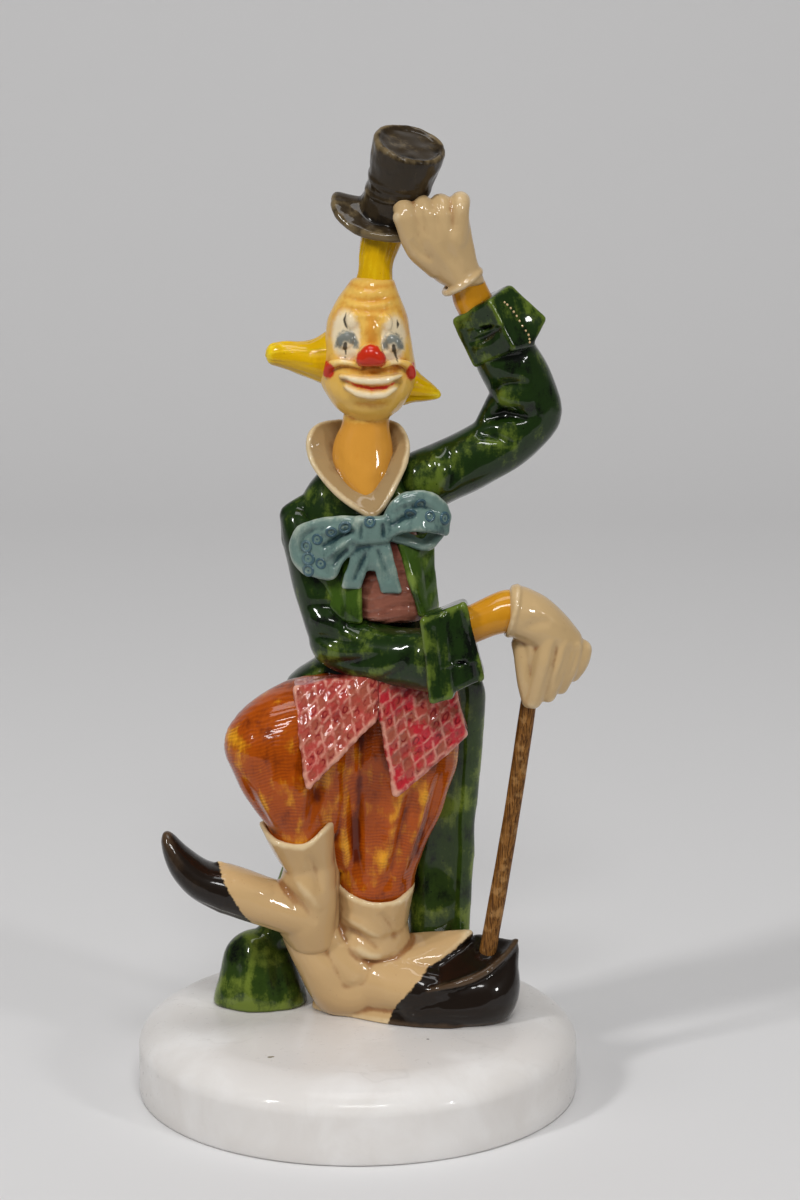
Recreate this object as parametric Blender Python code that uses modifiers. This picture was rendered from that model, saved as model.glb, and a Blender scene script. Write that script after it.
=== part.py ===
"""Glazed ceramic clown doffing a top hat, on a round alabaster plinth, leaning on a wooden cane.

The figure is one hollow casting, drawn solid. It is modelled in clay fashion: every mass is a hull of
small ellipsoid beads strung between named points of the pose, and all the hulls are fused with a voxel
remesh, smoothed, and thinned. The pose and the carving are in drawing millimetres, measured from the
middle of the plinth's top at the drawn height, and scale with the figure. X is the viewer's right,
-Y is the front and Z is up. The origin is the middle of the plinth's underside.
"""

import math

import bmesh
import bpy
from mathutils import Vector

# Driving sizes, in metres
FIGURE_HEIGHT = 0.240
PLINTH_DIAMETER = 0.120
PLINTH_HEIGHT = 0.021
PLINTH_FLAT_DIAMETER = 0.094
PLINTH_FOOT_EASE = 0.0008
SEAT_GAP = 0.0003
CANE_TOP_DIAMETER = 0.0037
CANE_FOOT_DIAMETER = 0.0042
CANE_BOW = 0.0005
GRIP_SOCKET_DEPTH = 0.0045
SHOE_SOCKET_DEPTH = 0.0035
SOCKET_CLEARANCE = 0.0003

# How finely the clay is worked
DRAWN_HEIGHT = 240.0
UNIT = FIGURE_HEIGHT / DRAWN_HEIGHT
VOXEL = 0.62 * UNIT
FIGURE_TRIANGLES = 8200
BEAD_SIDES = 12
BEAD_RINGS = 6
PLINTH_SIDES = 60
CANE_SIDES_RESOLUTION = 3

# The clown's pose: joints of the figure, in drawing millimetres
NEAR_SHOULDER = (-15.4, 1.5, 136.0)
NEAR_ELBOW = (-3.4, -5.8, 104.6)
NEAR_WRIST = (29.0, -18.5, 110.5)
FAR_SHOULDER = (17.5, 3.0, 147.0)
FAR_ELBOW = (46.0, 5.0, 163.5)
FAR_WRIST = (31.5, 0.0, 194.0)
HAT_SEAT = (9.2, 3.5, 217.5)
HAT_AXIS = (0.24, -0.43, 0.87)
LIFTED_KNEE = (-22.4, -10.5, 77.4)
CANE_GRIP = (44.9, -13.2, 89.0)
CANE_SHOE = (35.2, -6.5, 18.6)


def add(point, *offset):
    """A point moved by an offset."""
    return tuple(p + o for p, o in zip(point, offset))


def between(first, second, share):
    """The point that lies this share of the way from first to second."""
    return tuple(a + (b - a) * share for a, b in zip(first, second))


def bead(point, wide, deep=None, tall=None):
    """A small ellipsoid of clay: its middle, and its half sizes along X, Y and Z."""
    deep = wide if deep is None else deep
    tall = wide if tall is None else tall
    return (*point, wide, deep, tall)


def curve_value(before, start, end, after, t):
    """One coordinate, this share of the way from start to end on a Catmull-Rom curve."""
    pull = 2 * before - 5 * start + 4 * end - after
    twist = 3 * start - before - 3 * end + after
    return 0.5 * (2 * start + (end - before) * t + pull * t**2 + twist * t**3)


def smooth_string(beads, steps):
    """The beads and steps - 1 more between each two, on a Catmull-Rom curve through them all."""
    rows = [tuple(b) for b in beads]
    ends = [rows[0], *rows, rows[-1]]
    found = []
    for i in range(len(rows) - 1):
        four = ends[i : i + 4]
        found += [tuple(curve_value(*values, step / steps) for values in zip(*four)) for step in range(steps)]
    return [*found, rows[-1]]


def limb(*beads, steps=3):
    """Hulls that make one smooth tapering roll of clay through the beads."""
    line = smooth_string(beads, steps)
    return [list(pair) for pair in zip(line, line[1:])]


def sheet(upper, lower, thick):
    """Hulls of a sheet of clay between two rows of points, each as thick as a bead of that radius."""
    rows = list(zip(upper, lower))
    return [[bead(p, thick) for p in (*a, *b)] for a, b in zip(rows, rows[1:])]


def slab(points, thick):
    """One rounded hull through all the points."""
    return [[bead(p, thick) for p in points]]


def flap(points, thick, reach):
    """One hull with a flat front through the points, that reaches back into the body behind it."""
    return [[bead(p, thick) for p in [*points, *(add(p, 0, reach, 0) for p in points)]]]


def hoop(points, thick):
    """Hulls of a closed roll of clay through the points."""
    beads = [bead(p, thick) for p in points]
    return [[a, b] for a, b in zip(beads, beads[1:] + beads[:1])]


def fold(start, end, end_thick, middle_thick, rise):
    """Hulls of a soft fold between two points, which rises a little towards the front in its middle."""
    middle = add(between(start, end, 0.5), 0, -rise, 0)
    return limb(bead(start, end_thick), bead(middle, middle_thick), bead(end, end_thick))


def band(centre, axis, radius, thick, count=14):
    """Hulls of a ring of clay around an axis, such as a rolled hem."""
    turn = Vector((0, 0, 1)).rotation_difference(Vector(axis).normalized()).to_matrix()
    ring = [
        Vector(centre) + turn @ Vector((radius * math.cos(a), radius * math.sin(a), 0))
        for a in (2 * math.pi * i / count for i in range(count))
    ]
    beads = [bead(p, thick) for p in ring]
    return [[a, b] for a, b in zip(beads, beads[1:] + beads[:1])]


def hat_point(across, toward, along):
    """A point in the hat's own frame: across to the viewer's right, toward the viewer, and along its axis."""
    axis = Vector(HAT_AXIS).normalized()
    right = Vector((0, -1, 0)).cross(axis).normalized() * -1
    front = axis.cross(right) * -1
    return tuple(Vector(HAT_SEAT) + right * across + front * toward + axis * along)


def hat():
    """A crumpled top hat: a flared crown with soft creases, on a brim that curls up at the sides."""
    crown_height = 20.2
    profile = ((0.0, 8.6), (0.12, 7.9), (0.35, 7.5), (0.55, 7.9), (0.8, 8.8), (1.0, 9.4))
    rings = [[bead(p, 0.5) for p in hat_ring(radius, crown_height * share)] for share, radius in profile]
    hulls = [a + b for a, b in zip(rings, rings[1:])]
    for share, thick in ((0.46, 0.7), (0.62, 0.6), (0.77, 0.6)):
        hulls += hoop(hat_ring(7.5 + 1.5 * share, crown_height * share, slant=1.2), thick)
    return hulls + hoop(hat_ring(9.2, crown_height - 0.1), 0.8) + hat_brim()


def hat_ring(radius, along, slant=0.0, count=18):
    """Points around the crown at one height, tilted a little by slant."""
    angles = [2 * math.pi * i / count for i in range(count)]
    return [
        hat_point(radius * math.cos(a), radius * math.sin(a), along + slant * math.cos(a)) for a in angles
    ]


def hat_brim():
    """The brim: an oval saddle that curls up at both sides, dips in front and droops behind."""
    half_width, front_reach, back_reach = 15.4, 11.5, 10.5
    curl, front_dip, back_droop, sideways_tilt = 2.9, 1.2, 5.4, 0.1
    hub = bead(hat_point(0, 0, 0), 2.4)
    rim = []
    for step in range(20):
        across, toward = math.cos(math.pi * step / 10), math.sin(math.pi * step / 10)
        reach, drop = (front_reach, front_dip) if toward > 0 else (back_reach, back_droop)
        level = hat_point(0, toward * reach, curl * across**4 - drop * toward**2)
        rim.append(bead(add(level, across * half_width, 0, -across * half_width * sideways_tilt), 1.35))
    return [[hub, a, b] for a, b in zip(rim, rim[1:] + rim[:1])]


def hair():
    """A tuft that rises to the hat, a long swept tuft on one side and a short point on the other."""
    top = limb(
        bead((4.6, 0.5, 196.0), 5.2, 5.0, 3.0),
        bead((5.1, 0.8, 203.0), 4.3, 4.0, 3.0),
        bead((6.1, 1.4, 208.5), 4.9, 4.6, 3.0),
        bead((7.9, 2.2, 214.0), 6.2, 6.0, 3.0),
    )
    left = limb(
        bead((-4.0, 2.2, 179.5), 5.0, 7.0, 8.4),
        bead((-9.4, 2.4, 179.6), 3.6, 6.0, 6.8),
        bead((-15.0, 2.6, 179.9), 2.8, 4.6, 4.8),
        bead((-20.8, 2.6, 179.9), 2.4, 3.4, 3.1),
    )
    right = limb(
        bead((10.6, 2.2, 174.0), 4.0, 6.4, 7.0),
        bead((15.2, 2.4, 171.8), 2.4, 4.2, 3.6),
        bead((18.4, 2.4, 170.6), 1.7, 2.6, 1.8),
        bead((20.4, 2.4, 170.3), 0.9, 1.2, 0.9),
    )
    return top + left + right + locks()


def locks():
    """Raised strands along the tufts."""
    strands = []
    for turn in range(7):
        angle = math.radians(200 + turn * 23.3)
        side, deep = math.cos(angle), math.sin(angle)
        strands += limb(
            bead((4.9 + 3.9 * side, 0.8 + 3.6 * deep, 201.5), 0.8),
            bead((6.2 + 4.5 * side, 1.4 + 4.2 * deep, 208.0), 0.8),
            bead((7.9 + 5.8 * side, 2.2 + 5.5 * deep, 213.0), 0.8),
            steps=2,
        )
    for turn in range(5):
        angle = math.radians(-70 + turn * 35)
        deep, tall = -math.cos(angle), math.sin(angle)
        strands += limb(
            bead((-8.4, 2.4 + 5.6 * deep, 179.6 + 6.6 * tall), 0.9),
            bead((-15.0, 2.6 + 4.1 * deep, 179.9 + 4.4 * tall), 0.9),
            bead((-21.4, 2.6 + 2.9 * deep, 179.9 + 2.6 * tall), 0.8),
            steps=2,
        )
    return strands


def head():
    """The pear-shaped head, its neck and the bare chest in the collar."""
    outline = (
        (199.5, 4.2, 5.4, 5.0),
        (195.0, 3.8, 7.4, 6.6),
        (190.5, 3.4, 9.6, 8.4),
        (185.4, 3.1, 11.0, 9.6),
        (180.0, 3.1, 12.0, 10.2),
        (174.4, 3.1, 12.5, 10.2),
        (170.4, 3.1, 10.9, 9.4),
        (166.9, 3.4, 8.4, 7.6),
        (164.6, 3.6, 5.4, 5.2),
    )
    skull = limb(*(bead((x, 0.5, z), wide, deep, 1.7) for z, x, wide, deep in outline), steps=2)
    neck = limb(
        bead((3.0, 1.4, 167.0), 5.6, 5.2),
        bead((2.2, 0.8, 160.0), 6.4, 5.6),
        bead((1.4, 0.2, 153.5), 6.6, 5.4),
        bead((2.2, -1.6, 148.0), 5.0, 4.4),
        bead((2.8, -4.2, 143.6), 3.0, 3.0),
    )
    return skull + neck + face()


def face():
    """A painted clown's features, raised in the clay: ball nose, eyelids, cheeks, smile and brow lines."""
    hulls = [[bead((3.9, -12.4, 181.5), 3.5, 3.6, 3.2)]]
    hulls += limb(
        bead((0.9, -11.2, 180.2), 1.2),
        bead((3.9, -13.0, 179.9), 1.5),
        bead((6.9, -11.2, 180.2), 1.2),
        steps=2,
    )
    for lid in ((-2.4, -7.9, 186.0), (9.2, -7.7, 184.9)):
        hulls.append([bead(lid, 2.7, 1.6, 1.9)])
        hulls.append([bead(add(lid, 0.6, 0.6, 5.0), 2.4, 1.2, 3.0)])
    for side in (-1, 1):
        middle = 3.2 if side < 0 else 3.6
        hulls += limb(
            bead((3.9 + side * 3.9, -10.6, 180.0), 1.0),
            bead((middle + side * 8.0, -8.4, 179.9), 1.5),
            bead((middle + side * 10.8, -5.2, 177.6), 1.8),
            bead((middle + side * 11.0, -4.4, 174.6), 1.3),
            steps=2,
        )
    hulls.append([bead((3.9, -6.6, 173.4), 8.8, 4.6, 4.8)])
    hulls.append([bead((3.7, -4.6, 167.6), 5.0, 4.6, 3.4)])
    upper_lip = (
        (-5.0, -7.4, 176.4), (-0.4, -10.4, 175.2), (4.0, -11.2, 174.9), (8.4, -10.4, 175.2),
        (12.4, -7.2, 176.8),
    )
    lower_lip = (
        (-4.0, -8.2, 173.8), (-0.4, -10.4, 171.7), (3.8, -11.0, 171.0), (8.0, -10.3, 171.5),
        (11.2, -7.8, 173.6),
    )
    for lip in (upper_lip, lower_lip):
        hulls += limb(*(bead(p, thick) for p, thick in zip(lip, (0.8, 1.3, 1.4, 1.3, 0.8))), steps=2)
    for z, half, deep in ((196.4, 4.0, 5.8), (193.6, 4.6, 7.2), (190.4, 3.4, 8.2)):
        hulls += limb(
            bead((3.6 - half, -deep + 0.9, z + 0.4), 0.6),
            bead((3.6, -deep, z), 0.8),
            bead((3.6 + half, -deep + 0.9, z + 0.4), 0.6),
            steps=2,
        )
    return hulls


def collar():
    """A wide collar that stands away from the neck: wings at the sides and a deep point in front."""
    outer = (
        (-4.6, 8.2, 161.0), (-9.8, 4.0, 160.6), (-12.0, 0.0, 158.2), (-11.6, -2.0, 153.4),
        (-8.2, -5.4, 148.6), (-3.4, -8.2, 144.4), (1.0, -10.2, 141.8), (3.9, -10.9, 140.6),
        (6.6, -10.2, 142.0), (10.0, -7.6, 147.4), (12.7, -3.6, 153.0), (13.0, 0.4, 157.2),
        (10.8, 4.4, 160.6), (5.4, 8.2, 161.0),
    )
    inner = (
        (-2.6, 6.4, 157.0), (-5.0, 3.4, 156.6), (-5.8, 2.0, 155.8), (-5.4, -0.4, 153.6),
        (-3.2, -2.6, 149.8), (-0.6, -4.8, 146.6), (1.0, -6.2, 145.2), (2.5, -7.2, 144.6),
        (4.2, -6.2, 145.4), (6.2, -4.0, 148.8), (8.0, -2.0, 153.0), (8.6, 1.6, 155.8),
        (7.8, 3.4, 156.6), (4.6, 6.4, 157.0),
    )
    closed_outer = [*outer, outer[0]]
    closed_inner = [*inner, inner[0]]
    return sheet(closed_outer, closed_inner, 1.0) + hoop(outer, 1.2)


def coat_body():
    """The coat's chest, waist and shoulders, with its open fronts and the edge over the raised hip."""
    trunk = limb(
        bead((3.0, 2.5, 153.0), 7.0, 6.4, 3.0),
        bead((1.2, 2.5, 145.5), 14.0, 8.6, 3.0),
        bead((1.2, 2.5, 136.0), 18.0, 9.8, 3.0),
        bead((3.6, 2.5, 125.0), 16.2, 10.0, 3.0),
        bead((6.0, 2.5, 113.0), 14.4, 10.0, 3.0),
        bead((6.0, 2.5, 101.0), 14.8, 10.4, 3.0),
        bead((6.0, 2.8, 91.0), 18.0, 11.6, 3.0),
    )
    far_front = sheet(
        [(11.6, -9.2, 132.0), (14.8, -9.8, 121.5), (17.4, -9.0, 113.5)],
        [(19.6, -4.0, 133.0), (19.6, -4.6, 124.0), (20.6, -4.0, 114.0)],
        1.2,
    )
    near_front = sheet(
        [(0.0, -9.4, 134.0), (0.4, -10.4, 124.0), (1.0, -10.4, 113.0)],
        [(-8.0, -7.0, 134.0), (-10.0, -8.0, 124.0), (-8.0, -8.0, 113.0)],
        1.2,
    )
    skirt = limb(
        bead((-5.4, 4.0, 96.0), 3.4, 7.0, 2.8),
        bead((-12.6, 4.0, 90.0), 4.2, 8.0, 2.8),
        bead((-12.6, 5.0, 82.0), 6.0, 7.0, 3.0),
    )
    return trunk + far_front + near_front + skirt


def near_sleeve():
    """The bent arm across the belly: a narrow sleeve, creased at the elbow."""
    sleeve = limb(
        bead(NEAR_SHOULDER, 5.0, 6.0, 4.6),
        bead((-12.2, 0.0, 130.0), 6.4, 7.2, 6.4),
        bead((-8.8, -3.0, 117.5), 6.9, 7.6, 6.8),
        bead((-5.0, -5.0, 107.0), 7.8, 8.0, 7.6),
        bead(NEAR_ELBOW, 8.2, 8.0, 8.0),
        bead((8.0, -12.5, 102.7), 7.6, 7.6, 7.8),
        bead((19.0, -18.0, 102.4), 7.4, 7.4, 8.4),
    )
    cap = slab([(-15.4, 1.5, 139.0), (-15.8, 1.5, 136.0), (-8.0, 1.5, 143.0)], 3.6)
    creases = []
    for start, end in (
        ((-11.4, -9.4, 113.0), (-3.0, -12.6, 111.4)),
        ((-10.4, -10.0, 106.4), (-0.6, -14.6, 107.0)),
        ((-7.0, -11.0, 99.4), (3.0, -16.8, 101.4)),
        ((9.6, -19.4, 107.4), (11.2, -19.8, 98.0)),
    ):
        creases += fold(start, end, 0.8, 1.3, 1.2)
    return sleeve + cap + creases


def far_sleeve():
    """The raised arm's sleeve, with folds gathered inside the elbow."""
    sleeve = limb(
        bead(FAR_SHOULDER, 7.6, 7.6, 8.4),
        bead((26.5, 3.6, 151.5), 7.4),
        bead((37.0, 4.6, 157.0), 7.4),
        bead((44.4, 5.0, 161.8), 8.0, 7.8, 7.6),
    )
    bend = limb(
        bead((44.4, 5.0, 161.8), 8.0, 7.8, 7.6),
        bead(add(FAR_ELBOW, 1.2, 0, 1.4), 7.4),
        bead((44.0, 4.2, 173.0), 7.8),
        bead((40.2, 2.2, 182.0), 7.3),
        bead((38.2, 1.2, 187.0), 6.8),
    )
    folds = []
    for inside, outside in (
        ((37.6, 0.6, 168.0), (46.0, -3.4, 170.0)),
        ((37.4, 1.4, 173.6), (45.4, -3.2, 176.4)),
        ((34.2, 0.4, 161.2), (42.0, -2.8, 163.4)),
        ((20.6, -2.8, 155.4), (21.8, -4.8, 146.0)),
    ):
        folds += fold(inside, outside, 1.0, 1.3, 1.8)
    return sleeve + bend + folds


def far_cuff():
    """The raised arm's turned-back cuff: a boxy flare with a sharp front edge and a corner standing out."""
    front = slab(
        [
            (26.4, -1.0, 189.4), (35.0, -7.8, 194.8), (40.2, -1.0, 197.6), (34.0, 6.8, 194.0),
            (31.6, -1.6, 178.4), (40.6, -8.0, 183.6), (45.8, -4.0, 184.0), (41.0, 7.6, 182.6),
        ],
        1.2,
    )
    corner = slab(
        [
            (35.0, -7.2, 194.6), (40.2, -1.0, 197.6), (48.6, -1.0, 189.8), (45.4, -4.6, 184.4),
            (40.6, -7.4, 184.2), (46.0, 6.0, 188.0), (36.0, 6.4, 195.0),
        ],
        1.2,
    )
    edge = slab([(35.0, -8.6, 194.8), (40.6, -8.9, 183.6)], 0.9)
    button = [[bead((32.6, -6.8, 188.6), 2.0, 1.5, 2.0)]]
    return front + corner + edge + button


def near_cuff():
    """The lower arm's deep cuff, in two layers, with one round button."""
    fronts = [(18.4, -25.0, 114.6), (27.6, -24.6, 118.0), (32.0, -24.0, 99.6), (20.2, -25.4, 94.4)]
    backs = [add(p, 0.6, 12.5, -1.5) for p in fronts]
    body = slab(fronts + backs, 1.2)
    lip_front = [(24.4, -26.8, 117.0), (27.8, -26.2, 118.6), (32.4, -25.4, 99.2), (28.4, -26.6, 96.6)]
    lip = slab(lip_front + [add(p, 0.6, 14.0, -1.5) for p in lip_front], 1.1)
    hem = slab([(18.4, -26.2, 114.6), (20.2, -26.6, 94.4)], 1.1)
    button = [[bead((24.6, -26.6, 104.2), 2.2, 1.5, 2.2)]]
    return body + lip + hem + button


def wrists():
    """Bare wrists between the cuffs and the gloves."""
    far = limb(bead((35.0, 0.5, 188.0), 4.8), bead(FAR_WRIST, 4.7), bead((28.6, -1.6, 200.0), 4.6))
    near = limb(
        bead(add(NEAR_WRIST, -2.0, 0, 0), 5.0),
        bead((34.5, -18.2, 114.0), 5.2),
        bead((40.0, -17.2, 115.4), 5.6),
    )
    return far + near


def far_glove():
    """The hand that lifts the hat: fingers over the brim and a thumb below it."""
    hem = band((28.0, -1.8, 200.4), (-0.53, -0.1, 0.84), 5.3, 1.2)
    palm = limb(
        bead((27.7, -1.8, 201.4), 5.2, 5.0, 2.2),
        bead((24.3, -3.2, 206.2), 6.8, 4.6, 2.2),
        bead((21.4, -4.6, 211.8), 7.9, 4.4, 2.2),
        bead((20.4, -5.2, 216.6), 7.9, 4.0, 2.2),
    )
    fingers = []
    for i in range(4):
        share = i / 3
        x = 13.4 + 13.2 * share
        lean = -1.6 + 1.6 * share
        z = 218.8 + 1.8 * share
        fingers += limb(
            bead((x + 1.6, -7.0, z - 8.0), 2.1),
            bead((x, -8.6 + share, z - 1.0), 2.35),
            bead((x + lean, -5.4 + share, z + 1.6), 2.2),
            bead((x + lean * 1.6, -0.6, z + 0.6), 1.9),
            steps=2,
        )
    thumb = limb(
        bead((17.6, -6.0, 207.6), 2.4),
        bead((13.9, -8.0, 212.6), 2.2),
        bead((11.4, -9.0, 217.6), 2.0),
    )
    return hem + palm + fingers + thumb


def near_glove():
    """The hand that leans on the cane: a bent wrist with the fingers closed downwards."""
    hem = band((40.8, -17.0, 115.4), (0.975, 0.05, -0.2), 6.4, 1.1)
    back = limb(
        bead((41.2, -17.0, 115.2), 3.2, 6.2, 6.6),
        bead((47.0, -15.6, 112.6), 3.4, 6.4, 7.4),
        bead((53.0, -14.2, 109.0), 3.6, 5.8, 7.0),
        bead((57.0, -13.2, 106.4), 2.6, 4.6, 5.2),
    )
    heel = limb(
        bead((46.0, -14.6, 109.0), 3.4, 5.0, 4.0),
        bead((47.0, -14.0, 99.0), 3.2, 4.6, 3.0),
        bead((47.0, -13.8, 93.0), 2.6, 3.6, 2.4),
    )
    knuckles = ((50.2, -19.0, 108.0), (54.0, -17.6, 107.4), (57.0, -15.2, 106.6), (59.0, -12.4, 105.4))
    tips = ((46.6, -17.0, 91.2), (50.4, -16.0, 92.8), (53.8, -14.4, 94.6), (57.0, -12.2, 97.4))
    fingers = []
    for knuckle, tip in zip(knuckles, tips):
        middle = add(between(knuckle, tip, 0.5), 0.4, -1.2, 0)
        fingers += limb(bead(knuckle, 2.6), bead(middle, 2.5), bead(tip, 2.1), steps=2)
    thumb = limb(
        bead((43.8, -15.0, 106.0), 3.0),
        bead((45.0, -15.6, 97.0), 2.8),
        bead((45.8, -15.4, 91.0), 2.2),
    )
    return hem + back + heel + fingers + thumb


def bow():
    """The big ribbon bow: a drooping loop, an open loop, a square knot and two hanging ends."""
    knot = slab(
        [
            (0.6, -13.4, 138.2), (7.6, -13.4, 138.4), (7.8, -13.4, 134.2), (0.6, -13.4, 133.6),
            (4.0, -10.0, 136.0),
        ],
        1.7,
    )
    droop = sheet(
        [
            (0.5, -12.6, 138.4), (-5.0, -12.4, 138.6), (-10.0, -11.8, 137.6), (-14.6, -10.2, 135.6),
            (-16.4, -9.4, 131.6), (-15.8, -9.6, 127.6), (-13.2, -10.4, 124.8),
        ],
        [
            (0.5, -12.8, 132.6), (-2.8, -13.2, 129.8), (-4.4, -13.4, 127.6), (-5.4, -13.2, 125.4),
            (-6.4, -12.8, 124.0), (-8.6, -12.4, 124.0), (-11.0, -11.4, 124.4),
        ],
        1.3,
    )
    ridge = limb(
        bead((0.5, -14.0, 134.4), 1.0),
        bead((-4.6, -14.6, 131.6), 1.3),
        bead((-8.4, -13.8, 128.0), 0.9),
    )
    open_front = sheet(
        [
            (8.4, -12.8, 140.0), (11.6, -13.0, 144.4), (17.6, -12.2, 145.4), (22.4, -10.2, 142.6),
            (24.0, -8.6, 139.2),
        ],
        [
            (8.6, -13.6, 134.6), (12.0, -14.6, 136.6), (17.0, -14.6, 137.0), (21.2, -12.4, 136.0),
            (23.4, -9.8, 135.0),
        ],
        1.25,
    )
    open_back = sheet(
        [
            (24.0, -8.4, 138.6), (22.4, -8.0, 134.4), (18.8, -9.4, 131.0), (13.6, -10.6, 132.4),
            (9.0, -11.6, 134.0),
        ],
        [
            (22.4, -5.6, 137.6), (20.4, -5.8, 134.0), (17.6, -6.4, 131.8), (13.0, -8.0, 133.6),
            (9.0, -9.0, 135.0),
        ],
        1.25,
    )
    ends = []
    tips = ((2.8, -1.2, 121.2, 1.8), (6.0, 9.2, 120.0, 1.9), (4.4, 3.6, 127.0, 1.0))
    for x_top, x_low, z_low, half in tips:
        top, low = (x_top, -12.6, 133.0), (x_low, -12.2, z_low)
        middle = add(between(top, low, 0.5), 0, -0.6, 0)
        left = [add(p, -half, 0, 0) for p in (top, middle, low)]
        right = [add(p, half, 0, 0) for p in (top, middle, low)]
        ends += sheet(left, right, 1.0)
    return knot + droop + ridge + open_front + open_back + ends


def waistcoat():
    """The waistcoat: its rounded front, and two pointed flaps below the arm."""
    front = limb(
        bead((8.0, -3.4, 133.0), 8.4, 7.6, 3.0),
        bead((9.0, -4.2, 122.0), 10.2, 8.2, 3.0),
        bead((9.2, -4.6, 112.6), 10.2, 8.6, 3.0),
    )
    near_fold = [(-14.6, -18.4, 84.0), (5.0, -17.0, 89.0)]
    near_top = [(-15.6, -13.4, 93.6), (4.8, -15.6, 97.0)]
    near_point = [(-12.2, -24.0, 70.2), (4.6, -17.4, 86.8)]
    far_fold = [(7.2, -16.6, 85.6), (27.6, -11.4, 84.0)]
    far_top = [(7.0, -15.8, 97.0), (25.6, -11.4, 92.0)]
    far_point = [(10.6, -16.2, 66.0), (28.6, -10.4, 80.6)]
    flaps = flap(near_fold + near_top, 1.1, 7.0) + flap(near_fold + near_point, 1.1, 6.0)
    flaps += flap(far_fold + far_top, 1.1, 7.0) + flap(far_fold + far_point, 1.1, 6.0)
    return front + flaps


def standing_leg():
    """The leg that carries the weight: a wide trouser leg, gathered in long folds to the ankle."""
    outline = (
        (92.0, 9.0, 15.0, 11.5),
        (82.0, 11.2, 16.2, 12.4),
        (71.0, 11.0, 16.0, 12.4),
        (60.0, 8.9, 14.2, 11.4),
        (47.0, 6.1, 11.7, 10.0),
        (37.5, 4.9, 9.8, 8.6),
    )
    leg = limb(*(bead((x, -0.5, z), wide, deep, 1.6) for z, x, wide, deep in outline))
    folds = []
    for degrees in (-128, -102, -76, -52):
        side, front = math.cos(math.radians(degrees)), math.sin(math.radians(degrees))
        ridge = [
            bead((x + wide * side * 0.96, -0.5 + deep * front * 0.96, z), 1.4 if 2 < i < 5 else 0.7)
            for i, (z, x, wide, deep) in enumerate(outline)
            if i > 1
        ]
        folds += limb(*ridge, steps=2)
    return leg + folds


def lifted_leg():
    """The raised leg: the thigh comes forward to a round knee, and the shin drops back to the ankle."""
    thigh = limb(
        bead((0.0, 1.0, 90.0), 10.0, 11.0, 7.0),
        bead((-12.0, -4.0, 84.8), 11.2, 12.0, 8.4),
        bead((-21.0, -9.6, 79.8), 11.8, 11.6, 10.2),
        bead(LIFTED_KNEE, 12.4, 12.0, 11.4),
    )
    shin = limb(
        bead(LIFTED_KNEE, 12.4, 12.0, 11.4),
        bead((-20.6, -11.5, 68.5), 11.0, 11.2, 6.0),
        bead((-17.6, -11.0, 60.5), 9.6, 9.8, 4.0),
        bead((-15.8, -10.5, 55.5), 8.0, 8.4, 2.0),
    )
    inseam = limb(
        bead((-9.0, -9.5, 75.0), 6.6),
        bead((-8.4, -9.5, 66.0), 6.0),
        bead((-7.6, -9.0, 56.0), 5.0),
    )
    behind = limb(
        bead((-4.0, -2.0, 78.0), 7.0),
        bead((-4.0, -1.0, 60.0), 6.0),
        bead((-4.0, -1.0, 46.0), 5.0),
    )
    folds = []
    for start, end in (
        ((-12.0, -17.6, 61.0), (-8.4, -14.8, 71.5)),
        ((-15.6, -20.4, 60.0), (-13.0, -19.6, 70.0)),
        ((-22.0, -19.8, 60.5), (-27.0, -20.0, 70.0)),
    ):
        folds += fold(start, end, 0.8, 1.2, 0.9)
    return thigh + shin + inseam + behind + folds


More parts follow.
